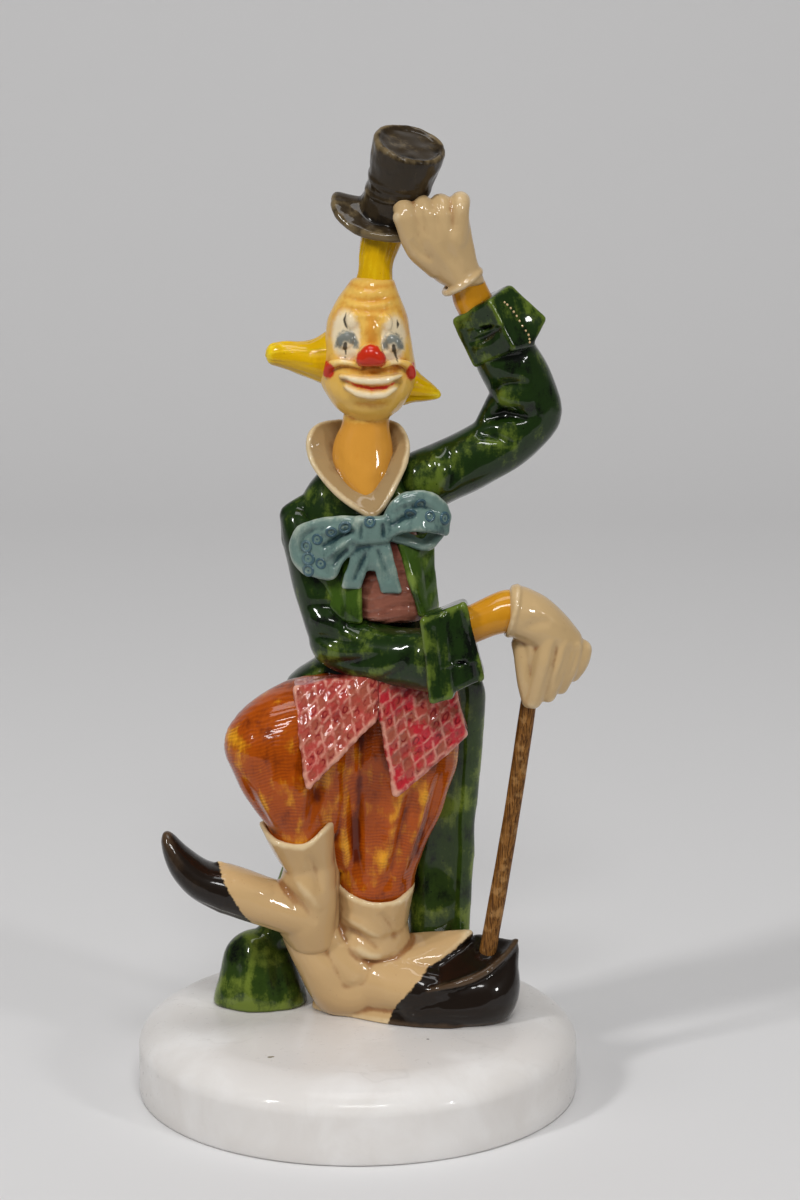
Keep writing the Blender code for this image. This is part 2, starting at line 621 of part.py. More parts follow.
def lifted_boot():
    """The boot in the air: a flared top, a bent ankle and a long toe that curls upwards to the left."""
    top = sheet(
        [
            (-24.0, -10.0, 55.6), (-21.0, -17.0, 52.6), (-14.0, -19.4, 52.0), (-9.0, -17.4, 55.6),
            (-6.6, -11.0, 57.0), (-8.0, -3.0, 56.5), (-17.0, -1.6, 55.6), (-24.0, -10.0, 55.6),
        ],
        [
            (-21.4, -10.0, 48.0), (-18.8, -15.0, 47.0), (-14.0, -16.4, 46.4), (-8.4, -14.6, 47.6),
            (-7.0, -10.0, 48.0), (-8.4, -4.6, 47.6), (-16.0, -4.0, 47.6), (-21.4, -10.0, 48.0),
        ],
        1.1,
    )
    ankle = limb(
        bead((-14.8, -10.0, 53.0), 7.8, 7.6, 3.0),
        bead((-12.6, -9.6, 45.0), 6.6, 7.0, 3.0),
        bead((-13.6, -9.0, 36.0), 8.2, 7.6, 3.0),
        bead((-14.2, -8.2, 28.6), 8.4, 7.6, 4.0),
        bead((-11.6, -5.6, 20.0), 5.0, 6.4, 4.4),
    )
    web = limb(
        bead((-9.0, -6.0, 50.0), 4.0, 5.0, 3.0),
        bead((-8.6, -5.4, 38.0), 4.2, 5.0, 3.0),
        bead((-9.0, -4.4, 26.0), 4.4, 5.0, 3.0),
    )
    foot = limb(
        bead((-16.0, -9.0, 31.0), 7.0, 7.4, 7.0),
        bead((-23.0, -11.0, 34.6), 6.0, 7.6, 6.4),
        bead((-29.6, -12.6, 37.4), 5.4, 7.8, 6.8),
        bead((-35.2, -13.4, 38.8), 5.0, 7.8, 6.8),
    )
    toe = limb(
        bead((-35.0, -13.4, 38.6), 5.6, 8.2, 6.6),
        bead((-41.4, -14.0, 41.4), 5.0, 7.4, 5.4),
        bead((-46.4, -14.4, 46.0), 3.8, 6.0, 4.6),
        bead((-49.6, -14.6, 51.2), 2.4, 3.8, 3.0),
        bead((-50.5, -14.6, 53.6), 1.4, 1.9, 1.6),
    )
    tongue = slab([(-36.8, -13.4, 45.4), (-33.0, -13.0, 43.0), (-27.0, -12.0, 40.6)], 1.2)
    folds = []
    for start, end in (
        ((-15.0, -16.6, 45.0), (-10.6, -16.0, 36.0)),
        ((-18.6, -16.4, 39.0), (-13.0, -16.8, 33.6)),
    ):
        folds += fold(start, end, 1.0, 1.4, 0.8)
    return top + ankle + web + foot + toe + tongue + folds


def standing_boot():
    """The boot on the ground: folds over the instep, and a broad toe with a rim that ends in a point."""
    top = sheet(
        [
            (-6.0, -3.0, 38.0), (-2.4, -9.0, 35.4), (4.4, -11.4, 33.4), (11.4, -9.4, 34.0),
            (14.6, -2.0, 36.6), (12.0, 6.0, 37.6), (0.0, 6.0, 38.6), (-6.0, -3.0, 38.0),
        ],
        [
            (-5.4, -3.0, 30.0), (-1.6, -7.8, 29.0), (4.4, -9.8, 28.0), (10.6, -8.0, 28.4),
            (13.4, -2.0, 29.6), (11.0, 5.0, 31.0), (0.0, 5.0, 31.0), (-5.4, -3.0, 30.0),
        ],
        1.1,
    )
    ankle = limb(
        bead((3.9, -1.0, 34.0), 9.6, 8.4, 3.0),
        bead((3.6, -1.0, 27.0), 10.2, 8.6, 3.0),
        bead((3.6, -0.6, 19.0), 11.2, 9.2, 3.0),
    )
    foot = limb(
        bead((-4.4, 3.4, 7.6), 8.8, 8.0, 10.0),
        bead((4.0, -0.4, 9.6), 11.6, 9.4, 9.6),
        bead((15.0, -5.0, 9.0), 10.4, 9.8, 8.0),
        bead((25.0, -6.6, 8.0), 8.8, 9.0, 7.0),
    )
    sole = limb(
        bead((-4.6, 3.4, 0.0), 8.2, 5.8, 6.0),
        bead((3.0, -0.6, 0.0), 8.6, 6.2, 6.0),
        bead((14.0, -6.4, 0.0), 8.0, 6.6, 6.0),
        bead((24.0, -8.0, 0.0), 8.0, 7.0, 6.0),
    )
    upper = slab(
        [
            (8.0, -7.6, 15.6), (15.0, -9.4, 12.4), (22.6, -7.4, 17.4), (30.4, -2.6, 22.6), (22.0, 4.0, 19.6),
            (11.0, 3.0, 19.6),
        ],
        1.3,
    )
    mouth = slab(
        [(20.0, -9.0, 11.6), (31.0, -8.6, 13.0), (40.0, -5.0, 16.0), (31.0, -2.4, 18.6), (24.0, -5.0, 15.0)],
        1.2,
    )
    toe = limb(
        bead((19.0, -7.6, 4.4), 9.0, 7.8, 6.0),
        bead((25.0, -7.8, 5.6), 9.0, 8.4, 7.0),
        bead((32.6, -7.4, 6.4), 9.0, 8.6, 8.4),
        bead((38.0, -5.4, 8.0), 6.2, 7.4, 9.0),
        bead((41.2, -4.0, 13.4), 2.6, 4.2, 6.4),
        bead((42.8, -3.0, 18.4), 1.3, 2.0, 2.2),
    )
    rim = limb(
        bead((17.0, -14.4, 10.8), 0.8),
        bead((22.4, -15.4, 12.2), 1.0),
        bead((28.4, -15.0, 13.0), 1.2),
        bead((34.6, -12.6, 15.2), 1.2),
        bead((40.0, -8.0, 18.4), 1.2),
        bead((43.1, -3.4, 21.0), 0.9),
    )
    seat = limb(bead((34.6, -5.6, 13.0), 5.6, 5.0, 4.0), bead((34.9, -5.8, 17.4), 3.4, 3.4, 2.6))
    folds = []
    for start, end in (((-3.0, -8.6, 29.0), (7.0, -10.6, 23.0)), ((-4.0, -8.4, 22.4), (5.0, -10.8, 18.4))):
        folds += fold(start, end, 0.9, 1.5, 1.0)
    return top + ankle + foot + sole + upper + mouth + toe + rim + seat + folds


def coat_tails():
    """The coat's two long tails: one hangs to the shoe, the other sweeps to the ground in a round end."""
    straight = limb(
        bead((15.0, 4.0, 104.0), 6.0, 8.0, 3.0),
        bead((23.2, 6.6, 91.0), 10.8, 7.0, 3.0),
        bead((24.4, 8.6, 75.0), 9.9, 6.0, 3.0),
        bead((23.4, 9.0, 55.0), 9.4, 5.4, 3.0),
        bead((22.6, 8.6, 37.0), 9.2, 5.2, 3.0),
        bead((22.2, 6.8, 21.0), 8.7, 4.6, 3.0),
        bead((22.0, 3.8, 14.0), 8.4, 4.4, 3.0),
    )
    swept = limb(
        bead((2.0, 4.6, 104.0), 10.0, 7.6, 3.0),
        bead((-2.6, 7.6, 90.0), 12.0, 6.6, 3.0),
        bead((-5.0, 10.0, 74.0), 10.6, 5.6, 3.0),
        bead((-8.4, 10.8, 54.0), 9.0, 5.2, 3.0),
        bead((-14.0, 10.6, 34.0), 8.4, 5.4, 3.0),
        bead((-20.0, 10.0, 18.0), 8.4, 6.4, 3.0),
    )
    mound = limb(bead((-27.2, 8.0, 0.0), 13.0, 10.0, 12.0), bead((-27.6, 8.2, 9.0), 10.4, 8.6, 11.4), steps=2)
    bridge = limb(
        bead((12.0, 9.0, 88.0), 8.0, 6.0, 4.0),
        bead((8.0, 9.0, 70.0), 8.0, 5.0, 4.0),
        bead((6.0, 7.0, 50.0), 9.0, 5.0, 4.0),
        bead((5.0, 5.0, 34.0), 8.0, 4.0, 4.0),
    )
    heel_web = limb(bead((-14.4, -2.0, 25.0), 6.0, 6.0, 6.0), bead((-13.0, 3.0, 14.0), 5.0, 5.0, 6.0))
    return straight + swept + mound + bridge + heel_web


def solid_bead():
    """The corners of a ball of radius 1, from which every bead is stretched; some lie on each axis."""
    ball = bmesh.new()
    bmesh.ops.create_uvsphere(ball, u_segments=BEAD_SIDES, v_segments=BEAD_RINGS, radius=1.0)
    corners = [v.co.copy() for v in ball.verts]
    ball.free()
    return corners


def clay_mesh(name, hulls):
    """One mesh that holds every hull as a closed surface, in metres above the plinth's top."""
    corners = solid_bead()
    points, faces = [], []
    for hull in hulls:
        clay = bmesh.new()
        for x, y, z, wide, deep, tall in hull:
            for corner in corners:
                clay.verts.new((x + wide * corner.x, y + deep * corner.y, z + tall * corner.z))
        bmesh.ops.convex_hull(clay, input=clay.verts[:], use_existing_faces=False)
        bmesh.ops.delete(clay, geom=[v for v in clay.verts if not v.link_faces], context="VERTS")
        clay.verts.index_update()
        first = len(points)
        points += [(v.co * UNIT).to_tuple() for v in clay.verts]
        faces += [[first + v.index for v in face.verts] for face in clay.faces]
        clay.free()
    mesh = bpy.data.meshes.new(name)
    mesh.from_pydata(points, [], faces)
    return mesh


def applied(obj, name):
    """A new mesh of the object as its modifiers leave it, without the modifiers."""
    bpy.context.view_layer.update()
    graph = bpy.context.evaluated_depsgraph_get()
    mesh = bpy.data.meshes.new_from_object(obj.evaluated_get(graph))
    mesh.name = name
    obj.modifiers.clear()
    obj.data = mesh
    return obj


def largest_part(work):
    """The corners of the connected part that has the most of them."""
    left = set(work.verts)
    best = set()
    while left:
        reached = {left.pop()}
        edge_of_it = list(reached)
        while edge_of_it:
            for link in edge_of_it.pop().link_edges:
                for other in link.verts:
                    if other in left:
                        left.remove(other)
                        reached.add(other)
                        edge_of_it.append(other)
        best = max(best, reached, key=len)
    return best


def cut_flat_below(mesh, height):
    """Cuts the mesh off at one height, closes the cut and keeps only the outer surface of the main body."""
    work = bmesh.new()
    work.from_mesh(mesh)
    keep = largest_part(work)
    bmesh.ops.delete(work, geom=[v for v in work.verts if v not in keep], context="VERTS")
    geometry = [*work.verts, *work.edges, *work.faces]
    cut = bmesh.ops.bisect_plane(
        work, geom=geometry, plane_co=(0, 0, height), plane_no=(0, 0, -1), clear_outer=True
    )
    edges = [e for e in cut["geom_cut"] if isinstance(e, bmesh.types.BMEdge)]
    bmesh.ops.triangle_fill(work, use_beauty=True, use_dissolve=False, edges=edges)
    bmesh.ops.triangulate(work, faces=work.faces[:])
    work.to_mesh(mesh)
    work.free()


def place(obj, collection):
    """Puts an object in a collection."""
    collection.objects.link(obj)
    return obj


def material(name, colour, roughness, metallic=0.0):
    """A plain Principled material."""
    made = bpy.data.materials.new(name)
    made.use_nodes = True
    shader = made.node_tree.nodes["Principled BSDF"]
    shader.inputs["Base Color"].default_value = (*colour, 1.0)
    shader.inputs["Roughness"].default_value = roughness
    shader.inputs["Metallic"].default_value = metallic
    made.diffuse_color = (*colour, 1.0)
    return made


def cane_line(name, grow, past_grip, past_shoe, collection):
    """The cane as a curve between the glove and the shoe, thicker by grow, and reaching past its two ends."""
    base = Vector((0, 0, PLINTH_HEIGHT + SEAT_GAP))
    grip = base + Vector(CANE_GRIP) * UNIT
    shoe = base + Vector(CANE_SHOE) * UNIT
    along = (grip - shoe).normalized()
    bow_out = Vector((CANE_BOW, 0, 0))
    taper = CANE_TOP_DIAMETER - CANE_FOOT_DIAMETER
    line = [
        (shoe - along * past_shoe, CANE_FOOT_DIAMETER),
        (shoe.lerp(grip, 0.35) + bow_out, CANE_FOOT_DIAMETER + 0.45 * taper),
        (shoe.lerp(grip, 0.7) + bow_out, CANE_FOOT_DIAMETER + 0.8 * taper),
        (grip + along * past_grip, CANE_TOP_DIAMETER),
    ]
    curve = bpy.data.curves.new(name, "CURVE")
    curve.dimensions = "3D"
    curve.resolution_u = 4
    curve.bevel_depth = 1.0
    curve.bevel_resolution = CANE_SIDES_RESOLUTION
    curve.use_fill_caps = True
    spline = curve.splines.new("BEZIER")
    spline.bezier_points.add(len(line) - 1)
    for point, (place_at, thick) in zip(spline.bezier_points, line):
        point.co = place_at
        point.radius = thick / 2 + grow
        point.handle_left_type = point.handle_right_type = "AUTO"
    drawn = place(bpy.data.objects.new(name, curve), collection)
    bpy.context.view_layer.update()
    mesh = bpy.data.meshes.new_from_object(drawn.evaluated_get(bpy.context.evaluated_depsgraph_get()))
    bpy.data.objects.remove(drawn)
    work = bmesh.new()
    work.from_mesh(mesh)
    bmesh.ops.remove_doubles(work, verts=work.verts, dist=1e-6)
    bmesh.ops.recalc_face_normals(work, faces=work.faces)
    work.to_mesh(mesh)
    work.free()
    mesh.name = name
    return place(bpy.data.objects.new(name, mesh), collection)


def make_figure(collection, cutters):
    """The casting, fused from all its clay, with flat soles and a socket for each end of the cane."""
    parts = (
        hat, hair, head, collar, coat_body, near_sleeve, far_sleeve, far_cuff, near_cuff, wrists, far_glove,
        near_glove, bow, waistcoat, standing_leg, lifted_leg, lifted_boot, standing_boot, coat_tails,
    )
    hulls = [hull for part in parts for hull in part()]
    figure = place(bpy.data.objects.new("clown_figure", clay_mesh("clown_clay", hulls)), collection)
    fuse = figure.modifiers.new("fuse the clay", "REMESH")
    fuse.mode = "VOXEL"
    fuse.voxel_size = VOXEL
    soften = figure.modifiers.new("soften the joins", "SMOOTH")
    soften.factor = 0.5
    soften.iterations = 2
    applied(figure, "clown_fused")
    cut_flat_below(figure.data, 0.0)
    thin = figure.modifiers.new("thin the mesh", "DECIMATE")
    thin.ratio = FIGURE_TRIANGLES / len(figure.data.polygons)
    applied(figure, "clown_thinned")
    figure.location.z = PLINTH_HEIGHT + SEAT_GAP
    sockets = (
        ("grip_socket_cutter", GRIP_SOCKET_DEPTH + SOCKET_CLEARANCE, 0.0),
        ("shoe_socket_cutter", 0.0, SHOE_SOCKET_DEPTH + SOCKET_CLEARANCE),
    )
    for name, past_grip, past_shoe in sockets:
        cutter = cane_line(name, SOCKET_CLEARANCE, past_grip, past_shoe, cutters)
        cutter.hide_render = True
        cutter.display_type = "WIRE"
        cut = figure.modifiers.new(name, "BOOLEAN")
        cut.operation = "DIFFERENCE"
        cut.object = cutter
    figure.data.materials.append(material("glazed ceramic", (0.12, 0.16, 0.03), 0.1))
    figure.data.shade_smooth()
    return figure


def make_cane(collection):
    """The wooden cane, with an end in each socket."""
    cane = cane_line("cane", 0.0, GRIP_SOCKET_DEPTH, SHOE_SOCKET_DEPTH, collection)
    cane.data.materials.append(material("brown wood", (0.16, 0.07, 0.02), 0.55))
    return cane


def make_plinth(collection):
    """The turned alabaster plinth: a flat top, a soft shoulder and a nearly upright side."""
    radius = PLINTH_DIAMETER / 2
    flat = PLINTH_FLAT_DIAMETER / 2
    wall = PLINTH_HEIGHT * 0.62
    profile = [(radius - PLINTH_FOOT_EASE, 0.0), (radius, PLINTH_FOOT_EASE)]
    for step in range(9):
        angle = math.pi / 2 * step / 8
        bulge = 1 - (1 - math.sin(angle)) ** 0.9 if step < 8 else 1.0
        out = flat + (radius - flat) * math.cos(angle) ** 0.85
        profile.append((out, wall + (PLINTH_HEIGHT - wall) * bulge))
    mesh = bpy.data.meshes.new("plinth")
    outline = [(0.0, 0.0, PLINTH_HEIGHT)] + [(r, 0.0, z) for r, z in reversed(profile)] + [(0.0, 0.0, 0.0)]
    mesh.from_pydata(outline, [(i, i + 1) for i in range(len(outline) - 1)], [])
    plinth = place(bpy.data.objects.new("plinth", mesh), collection)
    turn = plinth.modifiers.new("turn", "SCREW")
    turn.steps = PLINTH_SIDES
    turn.render_steps = PLINTH_SIDES
    turn.use_merge_vertices = True
    turn.merge_threshold = 0.00001
    turn.use_normal_calculate = True
    applied(plinth, "plinth")
    plinth.data.materials.append(material("alabaster", (0.78, 0.77, 0.76), 0.3))
    plinth.data.shade_smooth()
    plinth.data.set_sharp_from_angle(angle=math.radians(40))
    return plinth


def main():
    """Clears the scene and makes the plinth, the figure and the cane."""
    for obj in list(bpy.data.objects):
        bpy.data.objects.remove(obj)
    collection = bpy.data.collections.new("clown figurine")
    cutters = bpy.data.collections.new("cutters")
    bpy.context.scene.collection.children.link(collection)
    bpy.context.scene.collection.children.link(cutters)
    make_plinth(collection)
    make_figure(collection, cutters)
    make_cane(collection)


main()
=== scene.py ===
"""Looks of the glazed ceramic clown on its alabaster plinth, with its wooden cane.

Every painted zone of the casting is worked as clay of its own: hulls of small beads strung between named
points of the pose, fused by a voxel remesh, softened and carved. The glaze colours then run thin on the
ridges and pool in the hollows, and the darker pooled colour also paints shade into the creases and
recesses, between parts too. Points are in drawing millimetres above the plinth's top, X to the viewer's
right, -Y to the front; the frame gives their scale and height. Painted shapes are distance attributes,
which the materials cut to crisp edges.
"""

import logging
import math
from collections.abc import Callable
from dataclasses import dataclass, field
from enum import Enum
from functools import cache

import bmesh
import bpy
import numpy as np
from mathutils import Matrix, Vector, kdtree, noise
from mathutils.bvhtree import BVHTree


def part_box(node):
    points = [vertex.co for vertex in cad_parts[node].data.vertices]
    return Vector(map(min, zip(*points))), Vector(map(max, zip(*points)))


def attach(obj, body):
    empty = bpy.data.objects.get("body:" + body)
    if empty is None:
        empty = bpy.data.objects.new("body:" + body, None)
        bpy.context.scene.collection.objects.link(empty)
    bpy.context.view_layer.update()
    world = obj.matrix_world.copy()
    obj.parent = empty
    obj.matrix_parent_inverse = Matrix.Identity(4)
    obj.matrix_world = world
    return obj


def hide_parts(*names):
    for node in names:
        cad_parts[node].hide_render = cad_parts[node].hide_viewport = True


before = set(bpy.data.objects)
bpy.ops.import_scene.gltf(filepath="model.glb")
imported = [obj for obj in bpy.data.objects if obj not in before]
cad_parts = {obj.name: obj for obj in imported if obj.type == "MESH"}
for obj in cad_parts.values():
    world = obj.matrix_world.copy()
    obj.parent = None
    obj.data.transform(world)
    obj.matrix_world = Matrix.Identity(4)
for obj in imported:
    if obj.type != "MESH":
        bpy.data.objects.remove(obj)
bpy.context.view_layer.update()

Point = tuple[float, ...]
Colour = tuple[float, float, float]
Bead = tuple[float, ...]
Hull = list[Bead]
Parts = tuple[list[Hull], ...]
Strokes = tuple[tuple, ...]
Socket = bpy.types.NodeSocket
Sockets = bpy.types.bpy_prop_collection
Sockets3 = tuple[Socket, Socket, Socket]
Fill = Callable[["Wiring", Sockets, Sockets], None]
Feeds = dict[str | int, object]

LOG = logging.getLogger("clown")
DRAWN_HEIGHT = 240.1
BASE_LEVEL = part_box("clown_figure")[0].z
UNIT = (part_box("clown_figure")[1].z - BASE_LEVEL) / DRAWN_HEIGHT
PLINTH_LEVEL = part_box("plinth")[1].z
FAR = 1e6


def add(point: Point, *offset: float) -> Point:
    """A point moved by an offset."""
    return tuple(p + o for p, o in zip(point, offset))


def between(first: Point, second: Point, share: float) -> Point:
    """The point that lies this share of the way from first to second."""
    return tuple(a + (b - a) * share for a, b in zip(first, second))


def bead(point: Point, wide: float, deep: float | None = None, tall: float | None = None) -> Bead:
    """A small ellipsoid of clay: its middle, and its half sizes along X, Y and Z.

    Args:
        point: Its middle.
        wide: Half its size along X.
        deep: Half its size along Y, as wide if left out.
        tall: Half its size along Z, as wide if left out.

    Returns:
        The bead.
    """
    deep = wide if deep is None else deep
    tall = wide if tall is None else tall
    return (*point, wide, deep, tall)


def curve_value(before: float, start: float, end: float, after: float, t: float) -> float:
    """One coordinate, this share of the way from start to end on a Catmull-Rom curve.

    Args:
        before: The value ahead of the stretch.
        start: The value at its start.
        end: The value at its end.
        after: The value beyond it.
        t: The share of the stretch, from 0 to 1.

    Returns:
        The value.
    """
    pull = 2 * before - 5 * start + 4 * end - after
    twist = 3 * start - before - 3 * end + after
    return 0.5 * (2 * start + (end - before) * t + pull * t**2 + twist * t**3)


def smooth_string(rows: list[Point], steps: int) -> list[Point]:
    """The rows and steps - 1 more between each two, on a Catmull-Rom curve through them all.

    Args:
        rows: The rows.
        steps: How many stretches to make of each.

    Returns:
        The points.
    """
    rows = [tuple(row) for row in rows]
    ends = [rows[0], *rows, rows[-1]]
    found = []
    for i in range(len(rows) - 1):
        four = ends[i : i + 4]
        found += [tuple(curve_value(*values, step / steps) for values in zip(*four)) for step in range(steps)]
    return [*found, rows[-1]]


def whole(ball: Bead) -> Bead:
    """A bead with three half sizes, also where it is given with one."""
    return ball if len(ball) == 6 else (*ball[:3], *ball[3:] * 3)


def limb(*beads: Bead, steps: int = 4) -> list[Hull]:
    """Hulls that make one smooth tapering roll of clay.

    Args:
        beads: The beads that the roll runs through.
        steps: How many stretches lie between each two of them.

    Returns:
        The hulls.
    """
    line = smooth_string([whole(ball) for ball in beads], steps)
    return [list(pair) for pair in zip(line, line[1:])]


def sheet(upper: list[Point], lower: list[Point], thick: float, steps: int = 2) -> list[Hull]:
    """Hulls of a sheet of clay between two rows of points.

    Args:
        upper: One row of points.
        lower: The other row, with as many.
        thick: The radius of the beads along both rows.
        steps: How many stretches lie between each two points of a row.

    Returns:
        The hulls.
    """
    rows = list(zip(smooth_string(upper, steps), smooth_string(lower, steps)))
    return [[bead(p, thick) for p in (*a, *b)] for a, b in zip(rows, rows[1:])]


def slab(points: list[Point], thick: float) -> list[Hull]:
    """One rounded hull through all the points."""
    return [[bead(p, thick) for p in points]]


def flap(points: list[Point], thick: float, reach: float) -> list[Hull]:
    """One hull with a flat front through the points, that reaches back into the body behind it."""
    return [[bead(p, thick) for p in [*points, *(add(p, 0, reach, 0) for p in points)]]]


def hoop(points: list[Point], thick: float) -> list[Hull]:
    """Hulls of a closed roll of clay through the points."""
    beads = [bead(p, thick) for p in points]
    return [[a, b] for a, b in zip(beads, beads[1:] + beads[:1])]


def band(centre: Point, axis: Point, radius: float, thick: float, count: int = 20) -> list[Hull]:
    """Hulls of a ring of clay around an axis, such as a rolled hem.

    Args:
        centre: The ring's middle.
        axis: The direction it goes round.
        radius: The ring's radius.
        thick: The radius of its beads.
        count: How many points it has.

    Returns:
        The hulls.
    """
    turn = Vector((0, 0, 1)).rotation_difference(Vector(axis).normalized()).to_matrix()
    angles = [2 * math.pi * i / count for i in range(count)]
    spokes = [Vector((radius * math.cos(a), radius * math.sin(a), 0)) for a in angles]
    return hoop([tuple(Vector(centre) + turn @ spoke) for spoke in spokes], thick)


def new_object(name: str, mesh: bpy.types.Mesh) -> bpy.types.Object:
    """A linked object at the origin that shows the mesh.

    Args:
        name: The name.
        mesh: The mesh.

    Returns:
        The object.
    """
    made = bpy.data.objects.new(name, mesh)
    bpy.context.scene.collection.objects.link(made)
    return made


def settled(obj: bpy.types.Object) -> bpy.types.Object:
    """The object with its modifiers worked into its mesh.

    Args:
        obj: The object.

    Returns:
        The object.
    """
    bpy.context.view_layer.update()
    mesh = bpy.data.meshes.new_from_object(obj.evaluated_get(bpy.context.evaluated_depsgraph_get()))
    obj.modifiers.clear()
    obj.data = mesh
    return obj


def ball_sides(size: float) -> int:
    """How many sides a bead gets, from its largest half size in millimetres."""
    return 12 if size < 2.2 else 20 if size < 5.5 else 28


@cache
def ball_corners(sides: int) -> list[Vector]:
    """The corners of a ball of radius 1 with that many sides round it.

    Args:
        sides: The number of sides.

    Returns:
        The corners.
    """
    ball = bmesh.new()
    bmesh.ops.create_uvsphere(ball, u_segments=sides, v_segments=sides // 2, radius=1.0)
    corners = [v.co.copy() for v in ball.verts]
    ball.free()
    return corners


def placed(x: float, y: float, z: float) -> Point:
    """A point in metres, from drawing millimetres above the plinth's top."""
    return (x * UNIT, y * UNIT, z * UNIT + BASE_LEVEL)


def clay_mesh(name: str, hulls: list[Hull]) -> bpy.types.Mesh:
    """One mesh that holds every hull as a closed surface.

    Args:
        name: The mesh's name.
        hulls: The groups of beads; each group is wrapped in its convex hull.

    Returns:
        The mesh, in metres, at its place in the frame.
    """
    points: list[Point] = []
    faces: list[list[int]] = []
    for hull in hulls:
        clay = bmesh.new()
        for x, y, z, wide, deep, tall in hull:
            for corner in ball_corners(ball_sides(max(wide, deep, tall))):
                clay.verts.new((x + wide * corner.x, y + deep * corner.y, z + tall * corner.z))
        bmesh.ops.convex_hull(clay, input=clay.verts[:], use_existing_faces=False)
        bmesh.ops.delete(clay, geom=[v for v in clay.verts if not v.link_faces], context="VERTS")
        clay.verts.index_update()
        first = len(points)
        points += [placed(*v.co) for v in clay.verts]
        faces += [[first + v.index for v in face.verts] for face in clay.faces]
        clay.free()
    mesh = bpy.data.meshes.new(name)
    mesh.from_pydata(points, [], faces)
    return mesh


def without_inner_skins(mesh: bpy.types.Mesh) -> None:
    """Takes away the closed skins that face inwards, which a remesh leaves round trapped hollows.

    Args:
        mesh: The mesh.
    """
    work = bmesh.new()
    work.from_mesh(mesh)
    left = set(work.verts)
    inner: list[bmesh.types.BMVert] = []
    while left:
        reached = {left.pop()}
        waiting = list(reached)
        while waiting:
            for link in waiting.pop().link_edges:
                for other in link.verts:
                    if other in left:
                        left.remove(other)
                        reached.add(other)
                        waiting.append(other)
        top = max(reached, key=lambda v: v.co.z)
        if top.normal.z < 0:
            inner += reached
    if inner:
        bmesh.ops.delete(work, geom=inner, context="VERTS")
        work.to_mesh(mesh)
    work.free()


def cut_flat_below(mesh: bpy.types.Mesh, height: float) -> None:
    """Cuts the mesh off at one height in metres and closes the cut.

    Args:
        mesh: The mesh.
        height: The height, in metres.
    """
    work = bmesh.new()
    work.from_mesh(mesh)
    geometry = [*work.verts, *work.edges, *work.faces]
    cut = bmesh.ops.bisect_plane(
        work, geom=geometry, plane_co=(0, 0, height), plane_no=(0, 0, -1), clear_outer=True
    )
    edges = [e for e in cut["geom_cut"] if isinstance(e, bmesh.types.BMEdge)]
    bmesh.ops.triangle_fill(work, use_beauty=True, use_dissolve=False, edges=edges)
    work.to_mesh(mesh)
    work.free()


@dataclass
class Surface:
    """A mesh's corners as arrays, in drawing millimetres, for carving and painting."""

    points: np.ndarray
    normals: np.ndarray
    links: np.ndarray

    @classmethod
    def of(cls, mesh: bpy.types.Mesh) -> "Surface":
        """Reads a mesh.

        Args:
            mesh: The mesh.

        Returns:
            The form's corners.
        """
        count = len(mesh.vertices)
        points = np.empty(count * 3)
        normals = np.empty(count * 3)
        links = np.empty(len(mesh.edges) * 2, dtype=np.int64)
        mesh.vertices.foreach_get("co", points)
        mesh.vertices.foreach_get("normal", normals)
        mesh.edges.foreach_get("vertices", links)
        points = (points.reshape(-1, 3) - (0, 0, BASE_LEVEL)) / UNIT
        return cls(points, normals.reshape(-1, 3), links.reshape(-1, 2))

    def write(self, mesh: bpy.types.Mesh, moved: np.ndarray) -> None:
        """Moves the mesh's corners out along their normals by a number of millimetres each.

        Args:
            mesh: The mesh.
            moved: How far each corner moves, in millimetres.
        """
        points = self.points + self.normals * moved[:, None]
        mesh.vertices.foreach_set("co", (points * UNIT + (0, 0, BASE_LEVEL)).ravel())
        mesh.update()

    def smoothed(self, values: np.ndarray, passes: int) -> np.ndarray:
        """The values averaged with their neighbours' this many times.

        Args:
            values: The values, one row for each corner.
            passes: How many times.

        Returns:
            The averaged values.
        """
        start, end = self.links.T
        size = len(self.points)
        weight = np.maximum(np.bincount(start, minlength=size) + np.bincount(end, minlength=size), 1)
        columns = []
        for column in np.atleast_2d(values.T):
            for _ in range(passes):
                spread = np.bincount(start, column[end], size) + np.bincount(end, column[start], size)
                column = 0.3 * column + 0.7 * spread / weight
            columns.append(column)
        return np.array(columns).T.squeeze()

    def swell(self, passes: int) -> np.ndarray:
        """How far each corner stands out of its softened surroundings, in millimetres."""
        return ((self.points - self.smoothed(self.points, passes)) * self.normals).sum(axis=1)


def noise_lines(angle: np.ndarray, along: np.ndarray, seed: float) -> np.ndarray:
    """Irregular ridges that run along a form, from -1 to 1.

    Args:
        angle: The place across the ridges, in radians or in any unit with a period near 1.
        along: The place along the ridges, which makes them waver a little.
        seed: A number that makes one set of ridges differ from another.

    Returns:
        The height of the ridges.
    """
    waver = 0.35 * np.sin(along * 0.7 + seed)
    ridges = np.sin(11 * angle + waver + seed) + 0.8 * np.sin(19 * angle - waver + 2 * seed)
    return (ridges + 0.6 * np.sin(31 * angle + 2 * waver + 3 * seed)) / 2.4


